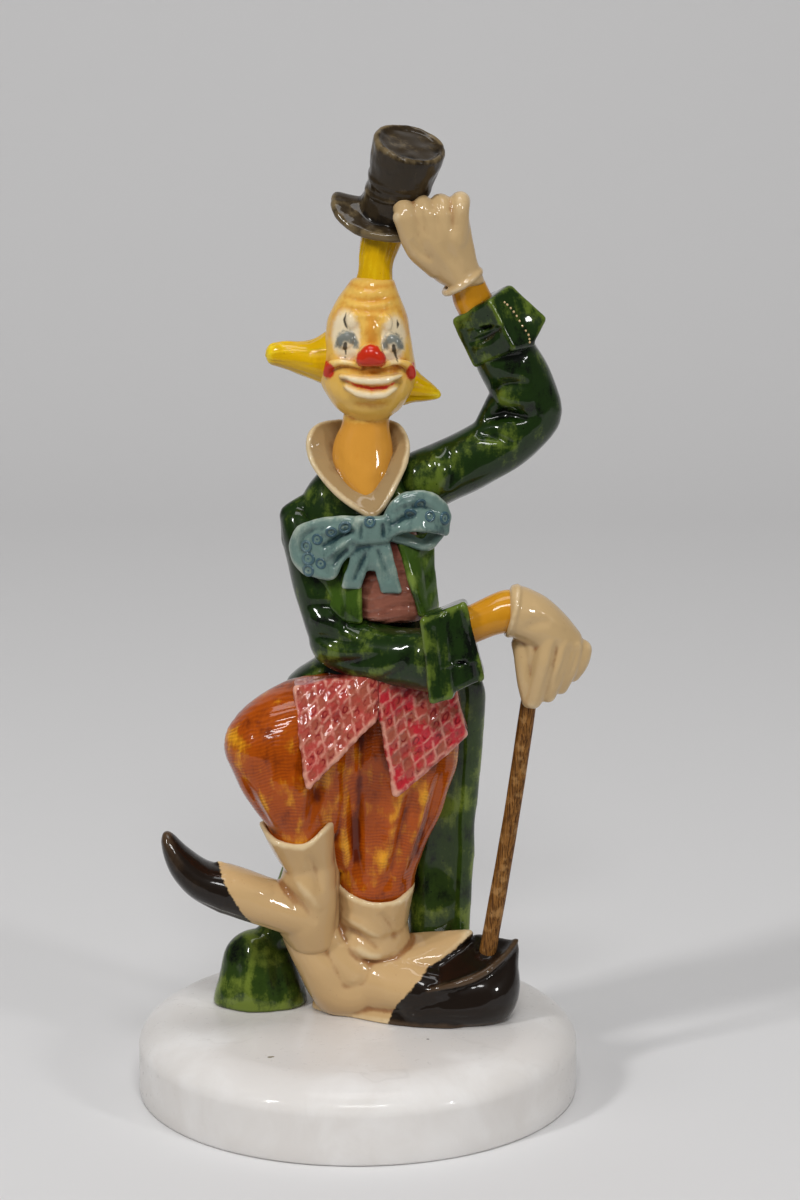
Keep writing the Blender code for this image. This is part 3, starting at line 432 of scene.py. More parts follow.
def line_distance(points: np.ndarray, line: list[Point]) -> tuple[np.ndarray, np.ndarray]:
    """The distance from points to a line on the front view, less the line's own half width.

    Args:
        points: The points in drawing millimetres.
        line: Rows of x, z and half width along the line.

    Returns:
        The distance to the line's edge, and on which side of the line each point lies, as -1 or 1.
    """
    best = np.full(len(points), FAR)
    side = np.ones(len(points))
    for (x0, z0, r0), (x1, z1, r1) in zip(line, line[1:]):
        step_x, step_z = x1 - x0, z1 - z0
        away_x, away_z = points[:, 0] - x0, points[:, 2] - z0
        share = np.clip((away_x * step_x + away_z * step_z) / (step_x**2 + step_z**2), 0, 1)
        gap = np.hypot(away_x - share * step_x, away_z - share * step_z) - (r0 + (r1 - r0) * share)
        nearer = gap < best
        best = np.where(nearer, gap, best)
        side = np.where(nearer, np.sign(step_x * away_z - step_z * away_x), side)
    return best, side


def oval_distance(points: np.ndarray, x: float, z: float, wide: float, tall: float) -> np.ndarray:
    """How far points lie from an upright oval on the front view, below 0 inside it.

    Args:
        points: The points in drawing millimetres.
        x: The oval's middle, across.
        z: The oval's middle, upwards.
        wide: Half its width.
        tall: Half its height.

    Returns:
        The distance of each point, in millimetres.
    """
    return (np.hypot((points[:, 0] - x) / wide, (points[:, 2] - z) / tall) - 1) * min(wide, tall)


class Paint(Enum):
    """The painted shapes that a piece can carry, each kept as a distance attribute in millimetres."""

    WHITE = "white_distance"
    LID = "lid_distance"
    STROKE = "stroke_distance"
    RED = "red_distance"
    BLUSH = "blush_distance"
    # Painted shade in the corners of the mouth
    CORNER_SHADE = "corner_shade_distance"
    DARK = "dark_distance"


class Wiring:
    """Adds nodes to a shader or geometry tree and links them up."""

    def __init__(self, tree: bpy.types.NodeTree) -> None:
        """Keeps the tree that the nodes go into."""
        self.tree = tree
        self.place: Socket | None = None

    def feed(self, socket: Socket, value: object) -> None:
        """Links a socket to an output, or gives it a value.

        Args:
            socket: The input.
            value: The output socket, or the plain value.
        """
        if isinstance(value, bpy.types.NodeSocket):
            self.tree.links.new(value, socket)
        else:
            socket.default_value = value

    def node(self, kind: str, feeds: Feeds | None = None, **settings: object) -> bpy.types.Node:
        """Adds a node.

        Args:
            kind: The node's type.
            feeds: Sockets or plain values for its inputs, by name or number.
            settings: The node's own settings.

        Returns:
            The node.
        """
        made = self.tree.nodes.new(kind)
        for setting, value in settings.items():
            setattr(made, setting, value)
        for name, value in (feeds or {}).items():
            self.feed(made.inputs[name], value)
        return made

    def math(self, operation: str, *values: object) -> Socket:
        """The result of a math node."""
        return self.node("ShaderNodeMath", dict(enumerate(values)), operation=operation).outputs[0]

    def scaled(self, vector: object, scale: object) -> Socket:
        """A vector multiplied by another, part by part."""
        return self.node("ShaderNodeVectorMath", {0: vector, 1: scale}, operation="MULTIPLY").outputs[0]

    def noise(self, place: object, scale: object, detail: float = 2.0, roughness: float = 0.5) -> Socket:
        """Smooth noise from 0 to 1 at a place."""
        feeds = {"Vector": place, "Scale": scale, "Detail": detail, "Roughness": roughness}
        return self.node("ShaderNodeTexNoise", feeds).outputs["Fac"]

    def span(self, value: object, low: object, high: object, start: float = 0.0, end: float = 1.0) -> Socket:
        """A value eased from start at low to end at high."""
        feeds = dict(enumerate((value, low, high, start, end)))
        return self.node("ShaderNodeMapRange", feeds, interpolation_type="SMOOTHSTEP").outputs[0]

    def mix(self, share: object, first: object, second: object) -> Socket:
        """The first colour, with the second laid over it by a share."""
        return self.node("ShaderNodeMix", {"Factor": share, 6: first, 7: second}, data_type="RGBA").outputs[2]

    def attribute(self, name: str, output: str = "Fac") -> Socket:
        """One of the piece's own attributes."""
        return self.node("ShaderNodeAttribute", attribute_name=name).outputs[output]

    def group(self, tree: bpy.types.NodeTree, **values: object) -> bpy.types.bpy_prop_collection:
        """The outputs of a node group fed by name; underscores stand for spaces."""
        feeds = {name.replace("_", " "): value for name, value in values.items()}
        return self.node("ShaderNodeGroup", feeds, node_tree=tree).outputs


def shader_group(outputs: str, **inputs: object) -> Callable[[Fill], Callable[[], bpy.types.NodeTree]]:
    """Turns a function that wires a node group into one that makes the group once and then returns it.

    Args:
        outputs: The names of the group's outputs, with spaces between them.
        inputs: The name and default of each input, with None for a colour; underscores stand for spaces.

    Returns:
        The decorator. Every group also takes a Place, which its wiring holds in millimetres.
    """

    def decorate(fill: Fill) -> Callable[[], bpy.types.NodeTree]:
        """Gives the group the function's name.

        Args:
            fill: The wiring.

        Returns:
            The function that makes the group.
        """

        def made() -> bpy.types.NodeTree:
            """The group, made at the first call.

            Returns:
                The node group.
            """
            if kept := bpy.data.node_groups.get(fill.__name__):
                return kept
            tree = bpy.data.node_groups.new(fill.__name__, "ShaderNodeTree")
            for name, value in {"Place": (0.0, 0.0, 0.0), **inputs}.items():
                kind = "Color" if value is None else "Float" if isinstance(value, float) else "Vector"
                shown = name.replace("_", " ")
                socket = tree.interface.new_socket(shown, in_out="INPUT", socket_type=f"NodeSocket{kind}")
                if value is not None:
                    socket.default_value = value
            for name in outputs.split():
                kind = "Color" if name == "Color" else "Float"
                tree.interface.new_socket(name, in_out="OUTPUT", socket_type=f"NodeSocket{kind}")
            w = Wiring(tree)
            given = w.node("NodeGroupInput").outputs
            w.place = w.scaled(given["Place"], (1000.0, 1000.0, 1000.0))
            fill(w, given, w.node("NodeGroupOutput").inputs)
            return tree

        return made

    return decorate


@shader_group(
    "Color Roughness Height", Base=None, Thin_Colour=None, Pool_Colour=None, Thin=0.0, Pool=0.0,
    Streaks=0.4, Streak_Scale=(0.5, 0.5, 0.12), Flecks=0.3, Patches=0.4,
)
def brushed_glaze(w: Wiring, given: Sockets, out: Sockets) -> None:
    """Coloured glaze as it lies on the clay: streaked by the brush, thin on ridges, and pooled in hollows as
    darker colour that is also painted shade.

    Args:
        w: The group's wiring.
        given: The group's inputs.
        out: The group's outputs.
    """
    patches = w.noise(w.place, 0.11, 3.0)
    streaks = w.noise(w.scaled(w.place, given["Streak Scale"]), 1.0, 4.0, 0.6)
    grain = w.noise(w.place, 1.5, 4.0, 0.65)
    uneven = w.math("MULTIPLY", w.math("SUBTRACT", patches, 0.5), given["Patches"])
    uneven = w.math("MULTIPLY_ADD", w.math("SUBTRACT", streaks, 0.5), given["Streaks"], uneven)
    uneven = w.math("MULTIPLY_ADD", w.math("SUBTRACT", grain, 0.5), given["Flecks"], uneven)
    thin_share = w.span(w.math("ADD", given["Thin"], uneven), 0.12, 0.9)
    # The pooled share darkens hollows and creases: pooled glaze, and painted shade with it.
    pool_and_shade_share = w.span(w.math("SUBTRACT", given["Pool"], uneven), 0.1, 0.85)
    colour = w.mix(pool_and_shade_share, given["Base"], given["Pool Colour"])
    colour = w.mix(thin_share, colour, given["Thin Colour"])
    cells = w.node("ShaderNodeTexVoronoi", {"Vector": w.place, "Scale": 0.55}).outputs["Distance"]
    rare = w.span(w.noise(w.place, 0.37, 1.0), 0.56, 0.62)
    flecks = w.math("MULTIPLY", w.math("MULTIPLY", w.span(cells, 0.1, 0.16, 1.0, 0.0), rare), given["Flecks"])
    w.feed(out["Color"], w.mix(flecks, colour, given["Pool Colour"]))
    rough = w.math("MULTIPLY_ADD", grain, 0.14, 0.26)
    w.feed(out["Roughness"], w.math("MULTIPLY_ADD", thin_share, 0.1, rough))
    w.feed(out["Height"], w.math("MULTIPLY_ADD", streaks, 0.5, w.math("MULTIPLY", grain, 0.5)))


@shader_group("Mask", Distance=1.0, Wobble=0.3, Softness=0.12)
def painted_edge(w: Wiring, given: Sockets, out: Sockets) -> None:
    """The mask of a painted shape, cut from its distance in millimetres, with a slightly unsteady edge.

    Args:
        w: The group's wiring.
        given: The group's inputs.
        out: The group's outputs.
    """
    unsteady = w.math("SUBTRACT", w.noise(w.place, 0.8, 3.0), 0.5)
    distance = w.math("MULTIPLY_ADD", unsteady, given["Wobble"], given["Distance"])
    inner = w.math("MULTIPLY", given["Softness"], -1.0)
    w.feed(out["Mask"], w.span(distance, inner, given["Softness"], 1.0, 0.0))


@shader_group(
    "Color Height", Cloth=(0.0, 0.0, 0.0), Square_Colour=None, Deep_Colour=None, Line_Colour=None, Ground=None
)
def checked_cloth(w: Wiring, given: Sockets, out: Sockets) -> None:
    """A painted check: red squares on a rose ground, pale lines between them and a ring in each.

    Args:
        w: The group's wiring.
        given: The group's inputs.
        out: The group's outputs.
    """
    wander = w.math("SUBTRACT", w.noise(w.place, 0.5, 3.0), 0.5)
    apart = w.node("ShaderNodeSeparateXYZ", {0: given["Cloth"]}).outputs
    halves, cells = [], []
    for axis in range(2):
        moved = w.math("MULTIPLY_ADD", wander, 0.55, apart[axis])
        halves.append(w.math("FRACT", w.math("MULTIPLY", w.math("FLOOR", moved), 0.5)))
        cells.append(w.math("ABSOLUTE", w.math("SUBTRACT", w.math("FRACT", moved), 0.5)))
    alternate = w.math("MULTIPLY", w.math("FRACT", w.math("ADD", *halves)), 2.0)
    line = w.span(w.math("MAXIMUM", *cells), 0.3, 0.48)
    reach = w.math("SQRT", w.math("ADD", w.math("POWER", cells[0], 2.0), w.math("POWER", cells[1], 2.0)))
    ring = w.math("MULTIPLY", w.span(reach, 0.12, 0.2), w.span(reach, 0.27, 0.36, 1.0, 0.0))
    wash = w.span(w.noise(w.place, 0.16, 5.0, 0.62), 0.42, 0.6)
    filled = w.math("MINIMUM", w.math("MULTIPLY_ADD", alternate, 0.35, wash), 1.0)
    filled = w.math("MULTIPLY", filled, w.math("MULTIPLY_ADD", apart[2], 0.55, 0.45))
    colour = w.mix(filled, given["Ground"], given["Square Colour"])
    blots = w.span(w.noise(w.place, 0.33, 3.0), 0.5, 0.6)
    colour = w.mix(w.math("MULTIPLY", w.math("MULTIPLY", ring, blots), 0.8), colour, given["Deep Colour"])
    worn = w.math("MULTIPLY", line, w.span(w.noise(w.place, 0.45, 4.0), 0.38, 0.6))
    w.feed(out["Color"], w.mix(w.math("MULTIPLY", worn, 0.55), colour, given["Line Colour"]))
    w.feed(out["Height"], w.math("SUBTRACT", line, ring))


@shader_group("Shade Height", Cloth=(0.0, 0.0, 0.0), Pitch=0.95)
def woven_lines(w: Wiring, given: Sockets, out: Sockets) -> None:
    """Fine threads pressed into the clay, in two directions, that waver and fade in places.

    Args:
        w: The group's wiring.
        given: The group's inputs.
        out: The group's outputs.
    """
    waver = w.math("SUBTRACT", w.noise(w.place, 0.13, 2.0), 0.5)
    apart = w.node("ShaderNodeSeparateXYZ", {0: given["Cloth"]}).outputs
    waves = []
    for axis, drift in ((0, 2.5), (1, 3.5)):
        along = w.math("DIVIDE", w.math("MULTIPLY_ADD", waver, drift, apart[axis]), given["Pitch"])
        waves.append(w.math("MULTIPLY_ADD", w.math("SINE", w.math("MULTIPLY", along, 2 * math.pi)), 0.5, 0.5))
    fade = w.span(w.noise(w.place, 0.2, 3.0), 0.32, 0.6)
    threads = w.math("MULTIPLY_ADD", waves[0], 0.2, w.math("MULTIPLY", waves[1], 0.8))
    w.feed(out["Height"], w.math("MULTIPLY", threads, fade))
    w.feed(out["Shade"], w.math("MULTIPLY", w.math("SUBTRACT", 1.0, threads), fade))


@shader_group("Color Roughness Height", Stone=None, Cloud=None, Vein=None)
def clouded_stone(w: Wiring, given: Sockets, out: Sockets) -> None:
    """Translucent white stone: faint clouds and thin grey veins.

    Args:
        w: The group's wiring.
        given: The group's inputs.
        out: The group's outputs.
    """
    bend = w.node("ShaderNodeTexNoise", {"Vector": w.place, "Scale": 0.03}).outputs["Color"]
    feeds = {0: bend, 1: (30.0, 30.0, 30.0), 2: w.place}
    moved = w.node("ShaderNodeVectorMath", feeds, operation="MULTIPLY_ADD").outputs[0]
    clouds = w.span(w.noise(moved, 0.035, 5.0, 0.55), 0.4, 0.68)
    ridge = w.math("ABSOLUTE", w.math("SUBTRACT", w.noise(moved, 0.022, 4.0), 0.5))
    veins = w.math("MULTIPLY", w.span(ridge, 0.0, 0.02, 1.0, 0.0), w.span(w.noise(w.place, 0.05), 0.45, 0.65))
    colour = w.mix(w.math("MULTIPLY", clouds, 0.7), given["Stone"], given["Cloud"])
    w.feed(out["Color"], w.mix(w.math("MULTIPLY", veins, 0.22), colour, given["Vein"]))
    scuffs = w.noise(w.place, 0.6, 5.0, 0.65)
    w.feed(out["Roughness"], w.math("MULTIPLY_ADD", scuffs, 0.2, 0.2))
    w.feed(out["Height"], scuffs)


@shader_group("Color Roughness Height", Wood=None, Dark_Grain=None, Worn=None)
def straight_grain(w: Wiring, given: Sockets, out: Sockets) -> None:
    """Thin brown wood: long grain, dark pores and worn, paler patches.

    Args:
        w: The group's wiring.
        given: The group's inputs.
        out: The group's outputs.
    """
    grain = w.noise(w.scaled(w.place, (3.2, 3.2, 0.16)), 1.0, 4.0, 0.6)
    pores = w.span(w.noise(w.scaled(w.place, (5.0, 5.0, 0.9)), 1.0, 2.0), 0.6, 0.68)
    worn = w.span(w.noise(w.place, 0.3, 4.0), 0.5, 0.66)
    colour = w.mix(w.span(grain, 0.38, 0.62), given["Wood"], given["Dark Grain"])
    colour = w.mix(w.math("MULTIPLY", worn, 0.55), colour, given["Worn"])
    w.feed(out["Color"], w.mix(pores, colour, given["Dark Grain"]))
    w.feed(out["Roughness"], w.math("MULTIPLY_ADD", grain, 0.2, 0.36))
    w.feed(out["Height"], w.math("SUBTRACT", grain, w.math("MULTIPLY", pores, 0.5)))


def linear(colour: tuple[float, float, float]) -> tuple[float, float, float, float]:
    """A colour given as seen, each part from 0 to 255, in linear light."""
    parts = [part / 255 for part in colour]
    return (*(p / 12.92 if p <= 0.04045 else ((p + 0.055) / 1.055) ** 2.4 for p in parts), 1.0)


@dataclass(frozen=True)
class Underglaze:
    """A brushed colour under a clear glossy glaze."""

    name: str
    base: Colour
    thin: Colour
    # pool is the colour where the glaze pools, which is also painted shade in hollows and creases; the stone
    # and the wood use it for veins and dark grain
    pool: Colour
    streaks: float = 0.5
    streak_scale: Point = (0.5, 0.5, 0.14)
    flecks: float = 0.35
    patches: float = 0.6
    gloss: float = 1.0
    relief: float = 0.05

    def material(self) -> bpy.types.Material:
        """The material, made once.

        Returns:
            The material, named for the finish.
        """
        if kept := bpy.data.materials.get(self.name):
            return kept
        made = bpy.data.materials.new(self.name)
        made.use_nodes = True
        w = Wiring(made.node_tree)
        shader = made.node_tree.nodes["Principled BSDF"]
        w.place = w.node("ShaderNodeTexCoord").outputs["Object"]
        colour, roughness, height = self.coloured(w)
        bump = w.node("ShaderNodeBump", {"Strength": 1.0, "Distance": self.relief / 1000, "Height": height})
        values = {
            "Base Color": colour, "Roughness": roughness, "Normal": bump.outputs[0],
            "Coat Weight": self.gloss, "Coat Roughness": 0.05, "Coat IOR": 1.38, "Specular IOR Level": 0.05,
        }
        for name, value in values.items():
            w.feed(shader.inputs[name], value)
        made.diffuse_color = linear(self.base)
        return made

    def coloured(self, w: Wiring) -> Sockets3:
        """Wires the finish and returns its colour, its roughness and its height."""
        return self.brushed(w, self.base, self.thin, self.pool)

    def brushed(self, w: Wiring, *colours: object) -> Sockets3:
        """The brushed glaze group, fed with the piece's own lie of the glaze.

        Args:
            w: The material's wiring.
            colours: The base colour, the one where the glaze is thin and the one where it pools, which is
                also painted shade.

        Returns:
            The sockets that bring the colour, the roughness and the height.
        """
        base, thin, pool = (linear(c) if isinstance(c, tuple) else c for c in colours)
        out = w.group(
            brushed_glaze(), Place=w.place, Base=base, Thin_Colour=thin, Pool_Colour=pool,
            Thin=w.attribute("thin"), Pool=w.attribute("pool"), Streaks=self.streaks,
            Streak_Scale=self.streak_scale, Flecks=self.flecks, Patches=self.patches,
        )
        return out["Color"], out["Roughness"], out["Height"]

    def mask(self, w: Wiring, shape: Paint, wobble: float, softness: float) -> Socket:
        """The mask of one painted shape."""
        feeds = {"Distance": w.attribute(shape.value), "Wobble": wobble, "Softness": softness}
        return w.group(painted_edge(), Place=w.place, **feeds)["Mask"]


@dataclass(frozen=True)
class FaceGlaze(Underglaze):
    """Ochre skin with the clown's face paint over it."""

    # For each painted shape its colour, how far its edge wanders, how soft the edge is, and its strength
    layers: tuple[tuple[Paint, Colour, float, float, float], ...] = (
        (Paint.BLUSH, (200, 120, 14), 2.4, 1.0, 0.6),
        (Paint.WHITE, (238, 224, 194), 1.2, 0.8, 0.84),
        (Paint.LID, (72, 90, 96), 1.3, 0.5, 0.85),
        # Painted shade: brown in the corners of the mouth
        (Paint.CORNER_SHADE, (110, 58, 22), 0.8, 0.6, 0.7),
        (Paint.RED, (196, 14, 8), 0.9, 0.3, 0.95),
        (Paint.STROKE, (34, 28, 22), 0.5, 0.2, 0.92),
    )

    def coloured(self, w: Wiring) -> Sockets3:
        """The skin, then each painted shape in turn.

        Args:
            w: The material's wiring.

        Returns:
            The sockets that bring the colour, the roughness and the height.
        """
        colour, roughness, height = super().coloured(w)
        for shape, paint, wobble, softness, strength in self.layers:
            share = w.math("MULTIPLY", self.mask(w, shape, wobble, softness), strength)
            colour = w.mix(share, colour, linear(paint))
        return colour, roughness, height


@dataclass(frozen=True)
class BootGlaze(Underglaze):
    """A pale spat over a dark glossy toe."""

    toe: Colour = (26, 18, 12)
    toe_thin: Colour = (78, 60, 42)

    def coloured(self, w: Wiring) -> Sockets3:
        """The spat, with the dark glaze from the painted line on.

        Args:
            w: The material's wiring.

        Returns:
            The sockets that bring the colour, the roughness and the height.
        """
        colour, roughness, height = super().coloured(w)
        dark, _, _ = self.brushed(w, self.toe, self.toe_thin, self.toe)
        return w.mix(self.mask(w, Paint.DARK, 1.2, 0.25), colour, dark), roughness, height


@dataclass(frozen=True)
class CheckGlaze(Underglaze):
    """Painted check cloth."""

    square: Colour = (184, 40, 50)
    deep: Colour = (118, 10, 22)
    line: Colour = (222, 160, 142)

    def coloured(self, w: Wiring) -> Sockets3:
        """The check as the base colour, under the lie of the glaze.

        Args:
            w: The material's wiring.

        Returns:
            The sockets that bring the colour, the roughness and the height.
        """
        cloth = w.group(
            checked_cloth(), Cloth=w.attribute("cloth", "Vector"), Place=w.place, Ground=linear(self.base),
            Square_Colour=linear(self.square), Deep_Colour=linear(self.deep), Line_Colour=linear(self.line),
        )
        colour, roughness, height = self.brushed(w, cloth["Color"], self.thin, self.pool)
        return colour, roughness, w.math("ADD", cloth["Height"], height)


@dataclass(frozen=True)
class WeaveGlaze(Underglaze):
    """Cloth with fine threads pressed in, where the glaze gathers between them."""

    pitch: float = 0.95
    contrast: float = 0.55

    def coloured(self, w: Wiring) -> Sockets3:
        """The brushed colour, darker between the threads.

        Args:
            w: The material's wiring.

        Returns:
            The sockets that bring the colour, the roughness and the height.
        """
        colour, roughness, height = super().coloured(w)
        weave = w.group(woven_lines(), Cloth=w.attribute("cloth", "Vector"), Place=w.place, Pitch=self.pitch)
        share = w.math("MULTIPLY", weave["Shade"], self.contrast)
        return w.mix(share, colour, linear(self.pool)), roughness, w.math("ADD", height, weave["Height"])


@dataclass(frozen=True)
class Alabaster(Underglaze):
    """Polished white stone that lets a little light in, with a few stray specks."""

    specks: tuple[tuple[Point, float, Colour], ...] = (
        ((-0.0226, -0.0363, PLINTH_LEVEL), 0.0008, (122, 112, 84)),
        ((-0.0219, -0.0360, PLINTH_LEVEL), 0.0006, (122, 112, 84)),
        ((0.0190, -0.0226, PLINTH_LEVEL), 0.0005, (84, 78, 70)),
    )

    def coloured(self, w: Wiring) -> Sockets3:
        """Clouds and veins, and the specks over them.

        Args:
            w: The material's wiring.

        Returns:
            The sockets that bring the colour, the roughness and the height.
        """
        colours = {"Stone": linear(self.base), "Cloud": linear(self.thin), "Vein": linear(self.pool)}
        stone = w.group(clouded_stone(), Place=w.place, **colours)
        colour = stone["Color"]
        for centre, radius, shade in self.specks:
            apart = w.node("ShaderNodeVectorMath", {0: w.place, 1: centre}, operation="DISTANCE")
            share = w.span(apart.outputs["Value"], radius * 0.6, radius, 0.85, 0.0)
            colour = w.mix(share, colour, linear(shade))
        return colour, stone["Roughness"], stone["Height"]

    def material(self) -> bpy.types.Material:
        """The stone, with light scattered below its surface.

        Returns:
            The material.
        """
        made = super().material()
        shader = made.node_tree.nodes["Principled BSDF"]
        shader.inputs["Subsurface Weight"].default_value = 0.35
        shader.inputs["Subsurface Radius"].default_value = (1.0, 0.96, 0.9)
        shader.inputs["Subsurface Scale"].default_value = 0.004
        return made


@dataclass(frozen=True)
class CaneWood(Underglaze):
    """Turned brown wood, rubbed with wax."""

    def coloured(self, w: Wiring) -> Sockets3:
        """Long grain and worn patches.

        Args:
            w: The material's wiring.

        Returns:
            The sockets that bring the colour, the roughness and the height.
        """
        colours = {"Wood": linear(self.base), "Dark_Grain": linear(self.pool), "Worn": linear(self.thin)}
        wood = w.group(straight_grain(), Place=w.place, **colours)
        return wood["Color"], wood["Roughness"], wood["Height"]


def kneaded(points: np.ndarray, size: float, seed: float) -> np.ndarray:
    """Soft unevenness, as hands leave it in clay.

    Args:
        points: The places in drawing millimetres.
        size: How far apart the dents lie, in millimetres.
        seed: A number that makes one piece's dents differ from another's.

    Returns:
        The height at each place, from about -1 to 1.
    """
    shifted = points / size + seed
    return np.fromiter((noise.noise(p) for p in shifted), float, len(points)) * 1.6


def modelled(surface: Surface, strokes: Strokes, flank: float = 0.15) -> np.ndarray:
    """Ridges and grooves drawn on the front of a form.

    Args:
        surface: The form.
        strokes: For each stroke its height in millimetres, below 0 for a groove, and then its line as rows
            of x, z and half width; the stroke fades out towards both ends of its line.
        flank: How far the strokes reach round to the sides, from 0 to 1.

    Returns:
        The height at each corner, in millimetres.
    """
    x, z = surface.points[:, 0], surface.points[:, 2]
    height = np.zeros(len(x))
    for rise, *line in strokes:
        rows = smooth_string(line, 5)
        fades = [math.sin(math.pi * i / (len(rows) - 1)) for i in range(len(rows))]
        best = np.full(len(x), FAR)
        local = np.zeros(len(x))
        for (x0, z0, half0), (x1, z1, half1), fade0, fade1 in zip(rows, rows[1:], fades, fades[1:]):
            share = ((x - x0) * (x1 - x0) + (z - z0) * (z1 - z0)) / ((x1 - x0) ** 2 + (z1 - z0) ** 2)
            share = np.clip(share, 0, 1)
            away = np.hypot(x - x0 - share * (x1 - x0), z - z0 - share * (z1 - z0))
            bell = np.exp(-((away / (half0 + (half1 - half0) * share)) ** 2))
            local = np.where(away < best, (fade0 + (fade1 - fade0) * share) * bell, local)
            best = np.minimum(best, away)
        height += rise * local
    return height * np.clip(flank - surface.normals[:, 1] * 1.4, 0, 1)


def write_attribute(mesh: bpy.types.Mesh, name: str, values: np.ndarray) -> None:
    """Writes numbers or vectors to a mesh's corners, as an attribute of that name.

    Args:
        mesh: The mesh.
        name: The name.
        values: A number or a vector for each corner.
    """
    vectors = values.ndim == 2
    slot = mesh.attributes.new(name, "FLOAT_VECTOR" if vectors else "FLOAT", "POINT")
    slot.data.foreach_set("vector" if vectors else "value", values.astype(np.float32).ravel())


@dataclass
class Casting:
    """The fused outside of the whole figure, which tells where its glaze runs thin and where it pools, the
    pool also painting shade into creases between parts.
    """

    voxel: float = 0.85
    passes: int = 5
    least_thin: float = 0.1
    full_thin: float = 0.42
    # How deep a hollow must be before it darkens, and where the darkening is full: pooled glaze and painted
    # shade
    least_pool_and_shade: float = 0.04
    full_pool_and_shade: float = 0.36
    hulls: list[Hull] = field(default_factory=list)
    tree: kdtree.KDTree | None = None
    swell: np.ndarray | None = None

    def fire(self) -> None:
        """Fuses all the clay given so far and measures its ridges and hollows."""
        whole = new_object("casting", clay_mesh("casting", self.hulls))
        fuse = whole.modifiers.new("fuse", "REMESH")
        fuse.mode = "VOXEL"
        fuse.voxel_size = self.voxel * UNIT
        settled(whole)
        surface = Surface.of(whole.data)
        surface.points = surface.smoothed(surface.points, 2)
        self.swell = surface.swell(self.passes)
        self.tree = kdtree.KDTree(len(surface.points))
        for index, point in enumerate(surface.points):
            self.tree.insert(point, index)
        self.tree.balance()
        bpy.data.objects.remove(whole)

    def lie(self, points: np.ndarray) -> tuple[np.ndarray, np.ndarray]:
        """How thin the glaze runs, and how deep it pools as darker colour that also paints shade into
        creases, at each point; both from 0 to 1.

        Args:
            points: The places, in drawing millimetres.

        Returns:
            The thin share and the pooled share of each.
        """
        found = [self.tree.find(p) for p in points]
        swell = self.swell[np.array([index for _, index, _ in found])]
        near = np.array([distance for _, _, distance in found]) < 3.0
        thin = np.clip((swell - self.least_thin) / (self.full_thin - self.least_thin), 0, 1)
        pool = np.clip((-swell - self.least_pool_and_shade) / (self.full_pool_and_shade - self.least_pool_and_shade), 0, 1)
        return thin * near, pool * near


@dataclass
class GlazedPiece:
    """One painted zone of the casting, worked as its own closed clay.

    Subclasses give the clay, and where they need to, the carving and the painting.
    """

    name: str
    finish: "Underglaze"
    voxel: float = 0.42
    softening: int = 6
    dents: float = 0.0
    dent_size: float = 6.0
    fine_passes: int = 8
    fine_pool_and_shade: float = 0.13
    fine_thin: float = 0.15
    casting_share: float = 1.0
    stands: bool = False
    parts: Parts = ()
    strokes: Strokes = ()
    flank: float = 0.15

    def clay(self) -> list[Hull]:
        """The hulls of clay that the zone is built up from."""
        return sum(self.parts, [])

    def carving(self, surface: Surface) -> np.ndarray:
        """How far each corner is raised or carved out, in millimetres."""
        return modelled(surface, self.strokes, self.flank)

    def painting(self, surface: Surface) -> dict[str, np.ndarray]:
        """The piece's attributes, by name: painted shapes and pattern places."""
        return {}

    def build(self, casting: Casting) -> bpy.types.Object:
        """Fuses, softens, carves and paints the zone.

        Args:
            casting: The fused whole, already fired.

        Returns:
            The finished piece, riding on the figure's body.
        """
        piece = new_object(self.name, clay_mesh(self.name, self.clay()))
        fuse = piece.modifiers.new("fuse", "REMESH")
        fuse.mode = "VOXEL"
        fuse.voxel_size = self.voxel * UNIT
        soften = piece.modifiers.new("soften", "SMOOTH")
        soften.factor = 0.5
        soften.iterations = self.softening
        settled(piece)
        without_inner_skins(piece.data)
        surface = Surface.of(piece.data)
        raised = self.carving(surface)
        if self.dents:
            raised = raised + self.dents * kneaded(surface.points, self.dent_size, len(self.name))
        surface.write(piece.data, raised)
        if self.stands:
            cut_flat_below(piece.data, BASE_LEVEL)
        surface = Surface.of(piece.data)
        self.write_glaze_lie(piece.data, surface, casting)
        for attribute, values in self.painting(surface).items():
            write_attribute(piece.data, attribute, values)
        piece.data.materials.clear()
        piece.data.materials.append(self.finish.material())
        piece.data.shade_smooth()
        return dress(piece, "clown_figure")

    def write_glaze_lie(self, mesh: bpy.types.Mesh, surface: Surface, casting: Casting) -> None:
        """Writes where the glaze thins, and where it pools as darker colour that also paints shade into
        hollows and creases, from the piece's own relief and the whole casting's.

        Args:
            mesh: The mesh.
            surface: The form's corners.
            casting: The fused whole.
        """
        thin, pool = casting.lie(surface.points)
        fine = surface.swell(self.fine_passes)
        own_thin = np.clip(fine / self.fine_thin - 0.25, 0, 1)
        # Darker pooled colour in the piece's own hollows: pooled glaze, and painted shade with it
        own_pool_and_shade = np.clip(-fine / self.fine_pool_and_shade - 0.1, 0, 1)
        thin = np.clip(0.6 * self.casting_share * thin + 0.6 * own_thin, 0, 1)
        pool = np.clip(0.75 * self.casting_share * pool + 0.6 * own_pool_and_shade, 0, 1)
        write_attribute(mesh, "thin", surface.smoothed(thin, 2))
        write_attribute(mesh, "pool", surface.smoothed(pool, 2))


def dress(piece: bpy.types.Object, node: str) -> bpy.types.Object:
    """Rides the piece on the body, in place of a node, which it hides.

    Args:
        piece: The piece.
        node: The node that it stands in for.

    Returns:
        The object.
    """
    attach(piece, "root")
    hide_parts(node)
    LOG.info("%s: %d faces", piece.name, len(piece.data.polygons))
    return piece


